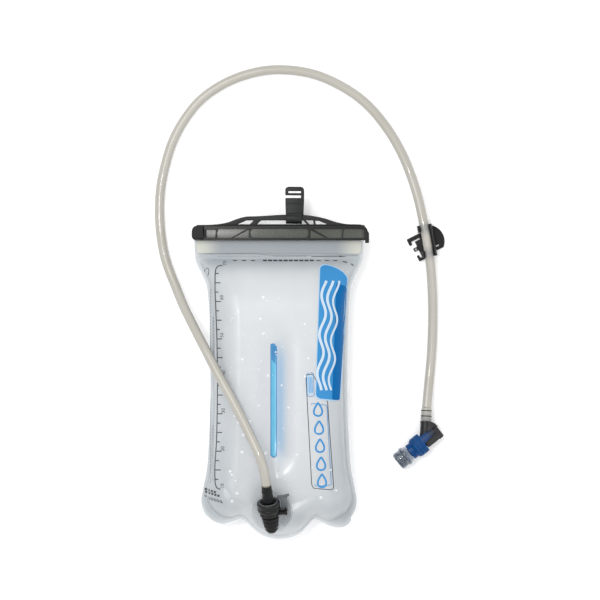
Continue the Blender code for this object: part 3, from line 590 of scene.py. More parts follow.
def band_look():
    """Frosted polyurethane stiffener band: cream at its bare ends, greyer where film lies over it."""
    look, tree, shader = new_look("frosted_polyurethane_band", {"Alpha": 0.75, "IOR": 1.5, "Roughness": 0.45})
    where = add(tree, "ShaderNodeTexCoord", "Object", {})
    side = reckon(tree, "SUBTRACT", add(tree, "ShaderNodeSeparateXYZ", "X", {0: where}), BAG_MIDDLE_X * MM)
    end = ranged(tree, reckon(tree, "ABSOLUTE", side), 0.0, 1.0, 0.055, 0.080, "SMOOTHSTEP")
    # fine vertical streaks, 1.6 mm apart, left by the extrusion die
    streak = add(tree, "ShaderNodeMapping", 0, {"Scale": (1 / 0.0016, 40.0, 40.0), "Vector": where})
    grain = add(tree, "ShaderNodeTexNoise", "Fac", {"Scale": 1.0, "Detail": 2.0, "Vector": streak})
    return wired(look, shader, blend(tree, end, linear("989EA3"), linear("C8C9C0")), None,
                 bump(tree, grain, 0.4, 0.0001))


def hose_look(settings):
    """Extruded polyurethane hose: beige, half clear, so the wall's edge looks darker than its middle."""
    look, tree, shader = new_look("extruded_polyurethane_hose", {
        "IOR": 1.5, "Coat Weight": 0.8, "Coat Roughness": 0.06})
    cloud = noise(tree, 0.045)
    shade = blend(tree, cloud, tuple(settings.tint), linear("9C988D"))
    # the clip's bands show through the wall as two greyer stretches
    shade = blend(tree, field(tree, "behind"), shade, linear("5C636B"))
    shade = blend(tree, ranged(tree, facing(tree, 0.35), 0.0, 0.9, 0.15, 0.9), shade, tuple(settings.bore))
    # 1.2 mm orange peel from the die
    relief = bump(tree, noise(tree, 0.0012, 1.0), 0.25, 0.00004)
    return wired(look, shader, shade, ranged(tree, cloud, 0.24, 0.38), relief)


def shaded_look(name, low, high, near, far, gloss=0.5):
    """Half-clear wall whose colour runs from near to far as the mesh's "run" goes from low to high."""
    look, tree, shader = new_look(name, {"IOR": 1.5, "Specular IOR Level": gloss, "Coat Weight": 0.3 * gloss})
    share = ranged(tree, field(tree, "run"), 0.0, 1.0, low, high, "SMOOTHSTEP")
    cloud = noise(tree, 0.004)
    return wired(look, shader, blend(tree, share, near, far), ranged(tree, cloud, 0.3, 0.5),
                 bump(tree, cloud, 0.3, 0.00008))


def silicone_look():
    """Liquid silicone, moulded: wet-looking, dark in its middle, with painted highlights at its lip, root and
    outline.
    """
    look, tree, shader = new_look("moulded_clear_silicone", {
        "Alpha": 0.8, "IOR": 1.41, "Coat Weight": 0.8, "Coat Roughness": 0.05})
    run = field(tree, "run")
    # painted highlights: pale bands at the root (run 9.4 to 15) and the lip (run below 2.2), and a pale
    # outline
    ends = reckon(tree, "ADD", ranged(tree, run, 0.0, 0.5, 9.4, 15.0, "SMOOTHSTEP"),
                  ranged(tree, run, 0.0, 0.45, 2.2, 0.5, "SMOOTHSTEP"))
    pale = reckon(tree, "MULTIPLY_ADD", facing(tree, 0.45), 0.6, ends)
    # 2.5 mm swirls of thicker and thinner wall
    swirl = noise(tree, 0.0025)
    share = reckon(tree, "ADD", pale, reckon(tree, "MULTIPLY_ADD", swirl, 1.5, -0.72), clamp=True)
    return wired(look, shader, blend(tree, share, linear("223243"), linear("9AA5B3")),
                 ranged(tree, swirl, 0.1, 0.26), bump(tree, swirl, 0.5, 0.0001))


LOOKS = {}


def looks(scene):
    """Make the shared materials once."""
    if LOOKS:
        return LOOKS
    mould, ink, grain = scene.bladder_mould, scene.bladder_ink, scene.bladder_mould.grain / MM
    blue = {"IOR": 1.48, "Specular_IOR_Level": 0.1, "Coat_Weight": 0.12, "Coat_Roughness": 0.06}
    LOOKS.update({
        # Glass-filled nylon, moulded in a spark-eroded tool: near black with a dull, grainy sheen
        "black": mottled("moulded_glass_filled_nylon", mould.black, "121213", 14, grain, 0.05, (0.42, 0.58),
                         IOR=1.53, Specular_IOR_Level=0.22),
        # The same nylon handled often: greyer, with polished high spots
        "worn": mottled("handled_glass_filled_nylon", "101111", "1B1C1C", 9, grain, 0.05, (0.34, 0.52),
                        IOR=1.53, Specular_IOR_Level=0.25),
        # Smoked copolyester, moulded: deep clear grey edges
        "edge": mottled("moulded_smoked_copolyester", "0C0D0D", "181917", 22, 2.5, 0.03, (0.24, 0.38),
                        IOR=1.57, Specular_IOR_Level=0.22),
        # Thin smoked copolyester panels: the same resin, lighter because less of it is looked through
        "smoke": mottled("thin_smoked_copolyester", mould.smoke, "3A3C37", 16, 3.0, 0.05, (0.20, 0.34),
                         IOR=1.57, Specular_IOR_Level=0.3, Coat_Weight=0.1, Coat_Roughness=0.2),
        # Clear polyurethane moulding, tumbled: glassy grey, mostly see-through
        "clear": mottled("clear_polyurethane_moulding", "A9AFB3", "949B9F", 10, 1.6, 0.05, (0.2, 0.34),
                         IOR=1.5, Alpha=0.1, Specular_IOR_Level=0.3),
        # Smoke-tinted polyurethane of the button guard: grey, a little see-through;
        # on the collar's lip ring it is lighter than the collar as a painted highlight
        "tinted": mottled("tinted_polyurethane_moulding", "54585B", "6A6E71", 8, 1.6, 0.05, (0.16, 0.30),
                          IOR=1.5, Alpha=0.85, Specular_IOR_Level=0.4),
        # Sky-blue polyurethane strip, extruded: a saturated, wet-looking blue
        "sky": mottled("extruded_blue_polyurethane", "57A8C8", "459ABC", 9, 2.2, 0.04, (0.18, 0.32),
                       IOR=1.5, Coat_Weight=0.2),
        # The same strip where it is welded: squeezed thicker, so darker
        "sky_edge": mottled("blue_polyurethane_weld_edge", "2E7AAE", "286E9F", 6, 2.0, 0.03, (0.25, 0.4),
                            IOR=1.5),
        # Its web inside the reservoir: thin, pale and see-through
        "sky_web": mottled("clear_blue_polyurethane_web", "5FA5DA", "7DB9E4", 12, 2.2, 0.04, (0.2, 0.35),
                           IOR=1.5, Alpha=0.75),
        # Blue acetal, moulded and slightly clear: deep, glossy blue
        "blue": mottled("moulded_blue_acetal", mould.blue, "003E75", 7, 1.2, 0.03, (0.26, 0.38), **blue),
        # Its raised rings in a lighter blue: painted highlight
        "blue_painted_highlight": mottled("blue_acetal_painted_highlight", "003F72", "035089", 6, 1.2, 0.03, (0.24, 0.36),
                               **blue),
        # The lever's blue darkens towards its tip, where it lies over the black elbow
        "blue_lever": shaded_look("moulded_blue_acetal_lever", 38, 47, tuple(mould.blue), linear("0C1826"),
                                  0.25),
        # Polypropylene, moulded: charcoal with a faint plum cast
        "brown": mottled("moulded_charcoal_polypropylene", "1E1C20", "151417", 8, 0.9, 0.04, (0.26, 0.40),
                         IOR=1.49, Specular_IOR_Level=0.35),
        # Nitrile rubber O-rings: dead black, wet with grease
        "rubber": mottled("moulded_nitrile_rubber", "1B1B1C", "242425", 3, 0.5, 0.02, (0.45, 0.6), IOR=1.52),
        # Stainless spring wire, drawn: bright, finely lined metal
        "steel": mottled("drawn_stainless_wire", "B9BBBC", "98999A", 2, 0.3, 0.01, (0.2, 0.35), Metallic=1.0),
        # Screen-printed solvent inks: flat, slightly broken by the film's peel; the thin ones pale and greyed
        "ink": mottled("screen_printed_black_ink", ink.black, "2A3035", 5, 0.6, 0.02, (0.45, 0.6)),
        "ink_pale": mottled("thin_grey_ink", "5F676D", "757D83", 6, 0.6, 0.02, (0.45, 0.6)),
        "ink_light": mottled("screen_printed_light_blue_ink", ink.light, "2F7CB4", 24, 0.6, 0.02,
                             (0.42, 0.55), Specular_IOR_Level=0.15),
        "ink_deep": mottled("screen_printed_deep_blue_ink", ink.deep, "00609E", 20, 0.6, 0.02, (0.42, 0.55),
                            Specular_IOR_Level=0.08),
        "ink_white": mottled("screen_printed_white_ink", "BCCBD7", "AEC0CF", 12, 0.6, 0.02, (0.4, 0.55)),
        "ink_haze": mottled("thin_pale_blue_ink", "8FB2CE", "9EBAD0", 10, 0.6, 0.02, (0.4, 0.55)),
        # Water beads: clear, their white base colour a painted highlight
        "water": mottled("water_beads", "FFFFFF", "F4F8FC", 2, 0.8, 0.01, (0.05, 0.1),
                         IOR=1.33, Alpha=0.55, Coat_Weight=1.0),
        "silicone": silicone_look(),
        "film": film_look(scene.bladder_film),
        "band": band_look(),
        "hose": hose_look(scene.bladder_hose),
        # Hose stretched over a barb: the dark plug shows through at the port, a greyer barb at the valve
        "cuff_port": shaded_look("hose_over_port_barb", 21.4, 22.6, linear("161718"), linear("7D796E"), 0.15),
        "cuff_valve": shaded_look("hose_over_valve_barb", 1, 12, linear("9F9C94"), linear("7F807E")),
    })
    return LOOKS


# ---------------------------------------------------------------- prints on the film

def ribbon(path, width, spacing=2.0):
    """Flat stroke: even points along a path, each widened both ways along the path's left normal."""
    path = np.array(path, float)
    run = np.concatenate([[0], np.cumsum(np.linalg.norm(np.diff(path, axis=0), axis=1))])
    even = np.linspace(0, run[-1], max(1, int(math.ceil(run[-1] / spacing))) + 1)
    line = np.stack([np.interp(even, run, path[:, k]) for k in (0, 1)], axis=1)
    ahead = np.gradient(line, axis=0) if len(line) > 2 else np.repeat(np.diff(line, axis=0), 2, axis=0)
    ahead /= np.linalg.norm(ahead, axis=1, keepdims=True)
    left = np.stack([-ahead[:, 1], ahead[:, 0]], axis=1) * width / 2
    return np.stack([line - left, line + left], axis=1)


def patch(corners, rows, columns, ease=0.0, crown=0.0):
    """Flat four-sided patch: blend of its corners; ease pulls the ends of the rows in for round corners.

    crown lifts the head edge into a curve: u (1 - u) v^6 times crown.
    """
    a, b, c, d = (np.array(corner, float) for corner in corners)
    v = np.linspace(0, 1, rows)[:, None, None]
    left, right = a + (d - a) * v, b + (c - b) * v
    length = np.linalg.norm(d - a)
    from_end = np.minimum(v, 1 - v) * length
    pull = ease - np.sqrt(np.clip(ease ** 2 - np.clip(ease - from_end, 0, None) ** 2, 0, None))
    width = np.linalg.norm(right - left, axis=2, keepdims=True)
    inset = pull / width
    u = inset + (1 - 2 * inset) * np.linspace(0, 1, columns)[None, :, None]
    grid = left + (right - left) * u
    return grid + np.concatenate([0 * u * v, crown * u * (1 - u) * v ** 6], axis=2)


def drape(name, grids, look, lift=0.16):
    """Lay flat grids on the front film: each point drops along Z to the film, then rises by lift."""
    points, faces, count = [], [], 0
    for grid in grids:
        rows, columns = grid.shape[:2]
        points.append(np.concatenate([grid.reshape(-1, 2), np.full((rows * columns, 1), DROP_FROM)], axis=1))
        faces.append(grid_faces(rows, columns) + count)
        count += rows * columns
    mesh = bpy.data.meshes.new(name)
    mesh.from_pydata((np.concatenate(points) * MM).tolist(), [], np.concatenate(faces).tolist())
    return drape_mesh(name, mesh, look, lift)


def drape_mesh(name, mesh, look, lift=0.16):
    """Drop a flat mesh onto the front film with a shrinkwrap along Z; what misses the film is cut away."""
    item = bpy.data.objects.new(name + "_flat", mesh)
    bpy.context.collection.objects.link(item)
    wrap = item.modifiers.new("drop", "SHRINKWRAP")
    wrap.target = bpy.data.objects["front_film"]
    wrap.wrap_method = "PROJECT"
    wrap.use_project_z = True
    wrap.use_negative_direction = True
    wrap.use_positive_direction = False
    laid = bake(item)
    work = bmesh.new()
    work.from_mesh(laid)
    bmesh.ops.delete(work, geom=[vert for vert in work.verts if vert.co.z > FILM_TOP * MM], context="VERTS")
    work.to_mesh(laid)
    work.free()
    laid.transform(Matrix.Translation((0, 0, lift * MM)))
    item = finish_piece(name, laid, look, "reservoir", turn=False)
    face_up(item)
    return item


def face_up(item):
    """Turn every face of an open sheet towards +Z."""
    work = bmesh.new()
    work.from_mesh(item.data)
    down = [face for face in work.faces if face.normal.z < 0]
    bmesh.ops.reverse_faces(work, faces=down)
    work.to_mesh(item.data)
    work.free()


def digits(text, x, y, size):
    """Mesh of a number, standing at x, y and turned to read up the scale."""
    font = bpy.data.curves.new("number_" + text, "FONT")
    font.body = text
    font.size = size * MM
    font.align_x = "CENTER"
    font.align_y = "CENTER"
    font.resolution_u = 3
    shape = bpy.data.objects.new("number_" + text, font)
    bpy.context.collection.objects.link(shape)
    mesh = bake(shape)
    place = Matrix.Translation((x * MM, y * MM, DROP_FROM * MM))
    mesh.transform(place @ Matrix.Rotation(math.radians(90), 4, "Z"))
    return mesh


# ---------------------------------------------------------------- operators

class BLADDER_OT_stage(bpy.types.Operator):
    """White table, even soft light and a camera straight above."""
    bl_idname = "bladder.stage"
    bl_label = "Stage"

    def execute(self, context):
        settings = context.scene.bladder_stage
        # Opal acrylic light table: matt white, with a little light from below that thins the shadows
        board = mottled("opal_acrylic_sheet", tuple(settings.floor), linear("FAFAFA"), 300, 4, 0.02,
                        (0.8, 0.95), Emission_Color=(1.0, 1.0, 1.0, 1.0), Emission_Strength=settings.glow)
        side = np.linspace(-6000, 6000, 3)
        x, y = np.meshgrid(side, side, indexing="ij")
        mesh = bpy.data.meshes.new("table_top")
        grid = np.stack([x, y, np.full_like(x, -0.05)], axis=2).reshape(-1, 3) * MM
        mesh.from_pydata(grid.tolist(), [], grid_faces(3, 3)[:, ::-1].tolist())
        mesh.materials.append(board)
        floor = bpy.data.objects.new("table_top", mesh)
        context.collection.objects.link(floor)
        world = bpy.data.worlds.new("even_sky")
        world.use_nodes = True
        back = world.node_tree.nodes["Background"]
        back.inputs["Color"].default_value = (1.0, 1.0, 1.0, 1.0)
        back.inputs["Strength"].default_value = settings.sky
        context.scene.world = world
        for name, place, share, size in (("key", (-0.9, 1.1, 2.6), 1.0, 1.8),
                                         ("fill", (1.3, -0.7, 2.4), 0.45, 2.4),
                                         ("glint", (-0.5, 0.2, 2.2), 0.26, 0.2)):
            lamp = bpy.data.lights.new(name, "AREA")
            lamp.energy = settings.key * share
            lamp.shape = "DISK"
            lamp.size = size
            light = bpy.data.objects.new(name, lamp)
            light.location = place
            light.rotation_euler = (-Vector(place)).to_track_quat("-Z", "Y").to_euler()
            context.collection.objects.link(light)
        lens = bpy.data.cameras.new("camera")
        lens.sensor_width = 36.0
        lens.lens = lens.sensor_width * settings.distance / VIEW_WIDTH
        camera = bpy.data.objects.new("camera", lens)
        camera.location = (*VIEW_MIDDLE, settings.distance + 0.02)
        context.collection.objects.link(camera)
        context.scene.camera = camera
        context.scene.view_settings.view_transform = "Standard"
        return {"FINISHED"}


class BLADDER_OT_hose(bpy.types.Operator):
    """Drinking hose with its two ends stretched over the barbs, and the marks on its cuff."""
    bl_idname = "bladder.hose"
    bl_label = "Hose"

    def execute(self, context):
        look = looks(context.scene)
        size = context.scene.bladder_hose.diameter / MM
        path, _ = smooth_route(HOSE_ROUTE, HOSE_STEP)
        held = [np.array(CLIP_AT + CLIP_ALONG * at) for at in (-13.0, 12.5)]

        def behind(grid):
            """0.8 exp(-(distance / 6.5)^4) about each of the clip's two bands."""
            return 0.8 * sum(np.exp(-(np.linalg.norm(grid - spot, axis=2) / 6.5) ** 4) for spot in held)

        hose = tube("hose", path, size / 2, look["hose"], "hose", 28, {"behind": behind})
        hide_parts("drink_tube")
        port = placing(PORT_AT, PORT_AXIS, PORT_SIDE)
        start = [(3.9, 3.0), (5.3, 3.0), (5.5, 4.5), (5.2, 6.6), (5.6, 8.4), (5.15, 11.0), (5.2, 12.6),
                 (5.6, 14.4), (5.1, 17.2), (4.9, PLUG_OUT - 0.1), (3.9, PLUG_OUT - 0.1)]
        cuff = lathe("hose_end_port", start, look["cuff_port"], "hose", port, 0.5, 48)
        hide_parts("tube_end_port")
        seat, reach = hose_end_seat()
        sleeve = [(3.9, -0.4), (4.8, -0.4), (5.0, 1.6), (5.4, 4.2), (5.15, 6.8), (5.4, 9.0),
                  (5.3, reach - 0.3), (3.9, reach - 0.3)]
        valve_cuff = lathe("hose_end_valve", sleeve, look["cuff_valve"], "hose", seat, 0.4, 48)
        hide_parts("tube_end_valve")
        rings = [lathe("band", [(5.0, at - 0.45), (5.55, at - 0.45), (5.55, at + 0.45), (5.0, at + 0.45)],
                       look["worn"], None, seat, 0.2, 48) for at in (reach - 5.2, reach - 10.6)]
        bands = joined("cuff_bands", rings, "hose")
        context.scene["hose_pieces"] = [valve_cuff.name, bands.name]
        return {"FINISHED"}


class BLADDER_OT_film(bpy.types.Operator):
    """Front and back film of the reservoir, with the mouth bands."""
    bl_idname = "bladder.film"
    bl_label = "Film"

    def execute(self, context):
        look = looks(context.scene)
        settings = context.scene.bladder_film
        u = np.linspace(-1, 1, 151)
        across = 0.55 * u + 0.45 * np.sin(u * math.pi / 2)
        v = np.linspace(0, 1, 231)
        down = 0.6 * v + 0.4 * (1 - np.cos(v * math.pi)) / 2
        front = film_grid(lambda x, y: front_height(x, y, settings.crease) + FRONT_LIFT, across, down)
        back = film_grid(lambda x, y: back_height(x, y) - BACK_DROP, across, down)
        for name, grid, node, turn in (("front_film", front, "bag_front_panel", True),
                                       ("back_film", back, "bag_back_panel", False)):
            x, y = grid[..., 0], grid[..., 1]
            # painted shade of the film, carried as its full field
            full = film_painted_shade(x, y)
            beside = x - BAFFLE_X - 5.5
            reach = np.where(beside > 0, 6.0, 4.0)
            ends = 1 / (1 + np.exp((y - BAFFLE_TOP_Y + 8) / 5)) / (1 + np.exp((BAFFLE_FOOT_Y + 4 - y) / 5))
            glow = 0.62 * np.exp(-(beside / reach) ** 2) * ends
            faces = grid_faces(*grid.shape[:2])
            if not turn:
                faces = faces[:, ::-1]
            film = piece(name, grid, faces, look["film"], "reservoir", None,
                         {"full": full, "glow": glow}, 70, False)
            if (film.data.polygons[len(film.data.polygons) // 2].normal.z > 0) != turn:
                film.data.flip_normals()
            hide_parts(node)
        for name, node, low, up in (("mouth_band_front", "mouth_strip_front", 28.45, 1),
                                    ("mouth_band_back", "mouth_strip_back", 24.95, -1)):
            outline = rounded([(-83.6, 121.9), (-84.2, 116.0), (-83.2, 109.6), (79.6, 109.0), (81.0, 114.0),
                               (80.4, 121.9)], 2.0)
            band = plate(name, [outline], low, low + 0.6, look["band"], "reservoir", bevel=0.2)
            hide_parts(node)
        return {"FINISHED"}


class BLADDER_OT_baffle(bpy.types.Operator):
    """Blue centre baffle: its welded strip on the front film and the webs that run to the back film."""
    bl_idname = "bladder.baffle"
    bl_label = "Baffle"

    def execute(self, context):
        look = looks(context.scene)
        top, foot = BAFFLE_TOP_Y, BAFFLE_FOOT_Y
        outer = patch([(-9.9, foot - 0.2), (-3.3, foot - 0.2), (-3.3, top - 2.2), (-9.9, top + 0.6)],
                      60, 7, 3.0)
        inner = patch([(-8.9, foot + 1.2), (-4.3, foot + 1.2), (-4.3, top - 3.8), (-8.9, top - 1.0)],
                      60, 7, 2.0)
        dark = patch([(-8.7, 3.4), (-4.9, -1.0), (-4.5, top - 4.2), (-8.7, top - 1.8)], 14, 6)
        edge = drape("baffle_weld", [outer], look["sky_edge"], 0.14)
        strip = drape("baffle_strip", [inner], look["sky"], 0.24)
        window = drape("baffle_pocket", [dark], look["sky_edge"], 0.32)
        t = np.linspace(0, 1, 16)[:, None]
        y = np.linspace(foot, top, 40)[None, :]
        for name, node, high, low in (("baffle_web_front", "baffle_key", 46.2, 26.0),
                                      ("baffle_web_back", "baffle_channel", 30.6, 6.2)):
            lean = 3.4 * np.sin(t * math.pi) * (1 + 0.15 * np.sin(y / 9.0))
            z = high + (low - high) * t + 0 * y
            wall = np.stack([BAFFLE_X + lean, y + 0 * t, z], axis=2)
            other = wall + np.array([0.7, 0, 0])
            ring = np.concatenate([wall, other[::-1]])
            body = np.concatenate([ring[:, :1] * 0 + ring.mean(axis=0)[None, :1], ring,
                                   ring[:, :1] * 0 + ring.mean(axis=0)[None, -1:]], axis=1)
            web = piece(name, body, grid_faces(*body.shape[:2], True, False), look["sky_web"], "reservoir")
            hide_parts(node)
        return {"FINISHED"}


class BLADDER_OT_prints(bpy.types.Operator):
    """Scale, fill line, blue panel and outlines printed on the front film, and the water beads."""
    bl_idname = "bladder.prints"
    bl_label = "Prints"

    def execute(self, context):
        look = looks(context.scene)
        line = context.scene.bladder_ink.line / MM
        for item in (*self.print_scale(look, line), *self.print_panel(look), *self.print_box(look, line)):
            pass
        self.beads(look, context.scene.bladder_film.beads)
        return {"FINISHED"}

    def print_scale(self, look, line):
        """Fill scale with its numbers, fill line, arrow, flag, care marks and rows of small notes."""
        spine = [(-57.9, 97.4), (-61.8, 96.9), (-64.0, 94.6), (-64.9, 90.0), (-65.2, 80.0), (-64.4, 53.0),
                 (-63.4, 27.0), (-62.8, -27.0), (-63.6, -75.0), (-65.2, -114.0), (-64.6, -121.4),
                 (-62.9, -124.7), (-59.8, -125.6)]
        run, _ = smooth_route([(x, y, 0) for x, y in spine], 2.0)
        strokes = [ribbon(run[:, :2], line * 1.1)]
        ticks = 98.7 - 9.33 * np.arange(1, 24)
        at = smooth_value(sorted((y, x) for x, y in spine[3:10]), ticks)
        for index, (x, y) in enumerate(zip(at, ticks)):
            strokes.append(ribbon([(x, y), (x + (5.4 if index % 2 else 3.4), y)], line * 1.1))
        # fill line, rising towards its middle, then turning down at the right
        for x in np.concatenate([np.arange(-47.5, -22, 9.0), np.arange(-17.5, 32, 5.2),
                                 np.arange(36.0, 60, 8.4)]):
            long = 4.0 if -20 < x < 34 else 4.2
            strokes.append(ribbon([(x, 102.4), (x + long, 102.4)], line * (1.7 if -20 < x < 34 else 1.0)))
        strokes += [ribbon([(62.4, 101.4), (66.6, 100.4)], line * 1.2),
                    ribbon([(70.6, 99.0), (73.2, 97.2)], line * 1.2)]
        # arrow, small flag and care marks
        strokes.append(ribbon([(31.0, 106.2), (60.0, 106.3)], line * 0.7))
        strokes.append(patch([(59.0, 105.6), (66.0, 106.3), (66.0, 106.5), (59.0, 107.0)], 3, 3))
        strokes.append(ribbon(rounded([(-76.6, 92.0), (-72.6, 95.4), (-71.2, 93.0), (-72.0, 86.6)], 1.2),
                              line * 0.7))
        for x0, x1, y in ((-75.6, -64.0, -125.6), (-75.2, -60.8, -128.4), (-76.0, -57.0, -132.6),
                          (-72.0, -56.0, -135.2)):
            wide = line * (2.2 if y > -130 else 1.0)
            for x in np.arange(x0, x1 - 1.5, 3.1):
                strokes.append(ribbon([(x, y - 0.28 * (x - x0)), (x + 2.2, y - 0.28 * (x + 2.2 - x0))], wide))
        scale = drape("printed_scale", strokes, look["ink"])
        small = [ribbon([(x, y), (x, y - 2.3)], 0.7) for x, high, low in
                 ((-69.6, 74, -118), (-67.2, 46, 6), (-67.2, -62, -118)) for y in np.arange(high, low, -3.3)]
        small += [ribbon([(x, 106.6), (x + 2.6, 106.6)], 0.5) for x in np.arange(-62, -22, 3.6)]
        small += [ribbon([(x, 106.6), (x + 1.8, 106.6)], 0.9) for x in np.arange(-7, 25, 2.8)]
        small.append(ribbon([(-76, 108.9), (-21, 108.9), (-14, 107.7), (78, 107.5)], 0.5))
        notes = drape("printed_notes", small, look["ink_pale"], 0.14)
        numbers = bmesh.new()
        for text, x, y in (("70", -55.4, 99.6), ("60", -58.4, 65.4), ("50", -58.2, 27.8), ("40", -56.6, -9.8),
                           ("30", -56.8, -47.4), ("20", -57.4, -85.4), ("10", -57.8, -122.4)):
            numbers.from_mesh(digits(text, x, y, 5.0))
        row = bpy.data.meshes.new("scale_numbers")
        numbers.to_mesh(row)
        numbers.free()
        return scale, notes, drape_mesh("scale_numbers", row, look["ink"])

    def print_panel(self, look):
        """Blue panel: pale border, light left part, deep right part, and three waves of running water."""
        border = patch([(34.6, -36.2), (60.2, -38.4), (68.0, 87.4), (39.0, 98.8)], 110, 44, 5.0, 13.0)
        panel = patch([(35.4, -34.8), (59.2, -37.2), (67.0, 87.0), (39.9, 97.8)], 110, 44, 4.4, 13.0)
        deep = patch([(51.6, -36.6), (59.2, -37.0), (66.4, 76.0), (56.0, 80.0)], 90, 16, 1.2)
        rim = drape("panel_border", [border], look["ink_haze"], 0.16)
        field = drape("panel_light", [panel], look["ink_light"], 0.3)
        shade = drape("panel_deep", [deep], look["ink_deep"], 0.44)
        y = np.linspace(-27, 82, 90)
        middle = 46.6 + 0.055 * (y - 20)
        waves = [ribbon(np.stack([middle + off + 2.6 * np.sin(y / 6.2 + turn), y], axis=1), wide)
                 for off, turn, wide in ((-5.6, 0.0, 2.6), (0.4, 0.5, 2.6), (6.2, 1.0, 2.0))]
        return rim, field, shade, drape("panel_waves", waves, look["ink_white"], 0.6)

    def print_box(self, look, line):
        """Outlined box below the panel, with a small tag, fine rules and a row of drops."""
        box = [(25.4, -12.0), (32.0, -10.6), (47.0, -38.0), (53.2, -124.6), (51.0, -126.2), (32.8, -124.6),
               (31.2, -121.0)]
        loop = rounded(box, 1.6)
        outline = drape("box_outline", [ribbon(np.concatenate([loop, loop[:1]]), line * 0.8)], look["ink"])
        label = drape("box_label",
                      [patch([(27.6, -31.0), (32.8, -31.0), (31.8, -11.6), (26.8, -12.4)], 12, 4, 1.2)],
                      look["ink_haze"], 0.12)
        tag = rounded([(26.9, -33.0), (33.8, -33.0), (33.0, -9.4), (26.0, -10.2)], 1.6)
        rules = [ribbon(np.concatenate([tag, tag[:1]]), 0.6)]
        rules += [ribbon([(x, -29.6), (x - 0.6, -14.0)], 0.5) for x in (29.0, 30.6, 32.0)]
        rules.append(ribbon(rounded([(30.6, -40.0), (46.4, -42.0), (50.8, -121.6), (34.4, -122.4)], 1.6),
                            0.6))
        lines = drape("box_rules", rules, look["ink_light"], 0.26)
        drops = []
        turn = np.linspace(0, 2 * math.pi, 33)
        wide = 4.6 * np.sin(turn) * np.sin(turn / 2) ** 1.2
        for y0 in (-46.0, -64.0, -82.0, -100.0, -117.0):
            x0 = 37.6 - 0.055 * (y0 + 46)
            drops.append(ribbon(np.stack([x0 + wide * 1.25, y0 + 6.6 * np.cos(turn)], axis=1),
                                line * 2.0, 1.0))
        return outline, label, lines, drape("box_drops", drops, look["ink_light"])

    def beads(self, look, count):
        """Water beads: flat domes, radius 0.45 to 1.8 mm, placed by a seeded generator, none on the panel."""
        spread = np.random.default_rng(11)
        x, y = spread.uniform(-52, 58, count), spread.uniform(-140, 70, count)
        size = 0.45 + 1.35 * spread.random(count) ** 2.2
        x = np.where((x > 30) & (y > -42), x - 60, x)
        sides, ring, up = 10, np.array([1.0, 0.72, 0.0]), np.array([0.0, 0.34, 0.5])
        points = sides * len(ring)
        turn = np.linspace(0, 2 * math.pi, sides, endpoint=False)
        flat = np.stack([np.outer(ring, np.cos(turn)), np.outer(ring, np.sin(turn))], axis=2)
        grid = np.stack([x, y], axis=1)[:, None, None] + size[:, None, None, None] * flat
        rise = size[:, None, None] * up[None, :, None] + np.zeros((1, 1, sides))
        rows = grid_faces(len(ring), sides, False, True)
        faces = (rows + points * np.arange(count)[:, None, None]).reshape(-1, 4)
        mesh = bpy.data.meshes.new("water_beads")
        flat = np.concatenate([grid.reshape(-1, 2), np.full((count * points, 1), DROP_FROM)], axis=1)
        mesh.from_pydata((flat * MM).tolist(), [], faces.tolist())
        mesh.attributes.new("rise", "FLOAT", "POINT").data.foreach_set("value", rise.ravel())
        item = drape_mesh("water_beads", mesh, look["water"], 0.05)
        height = np.zeros(len(item.data.vertices))
        item.data.attributes["rise"].data.foreach_get("value", height)
        where = np.zeros(3 * len(height))
        item.data.vertices.foreach_get("co", where)
        where = where.reshape(-1, 3)
        where[:, 2] += height * MM
        item.data.vertices.foreach_set("co", where.ravel())
        item.data.update()


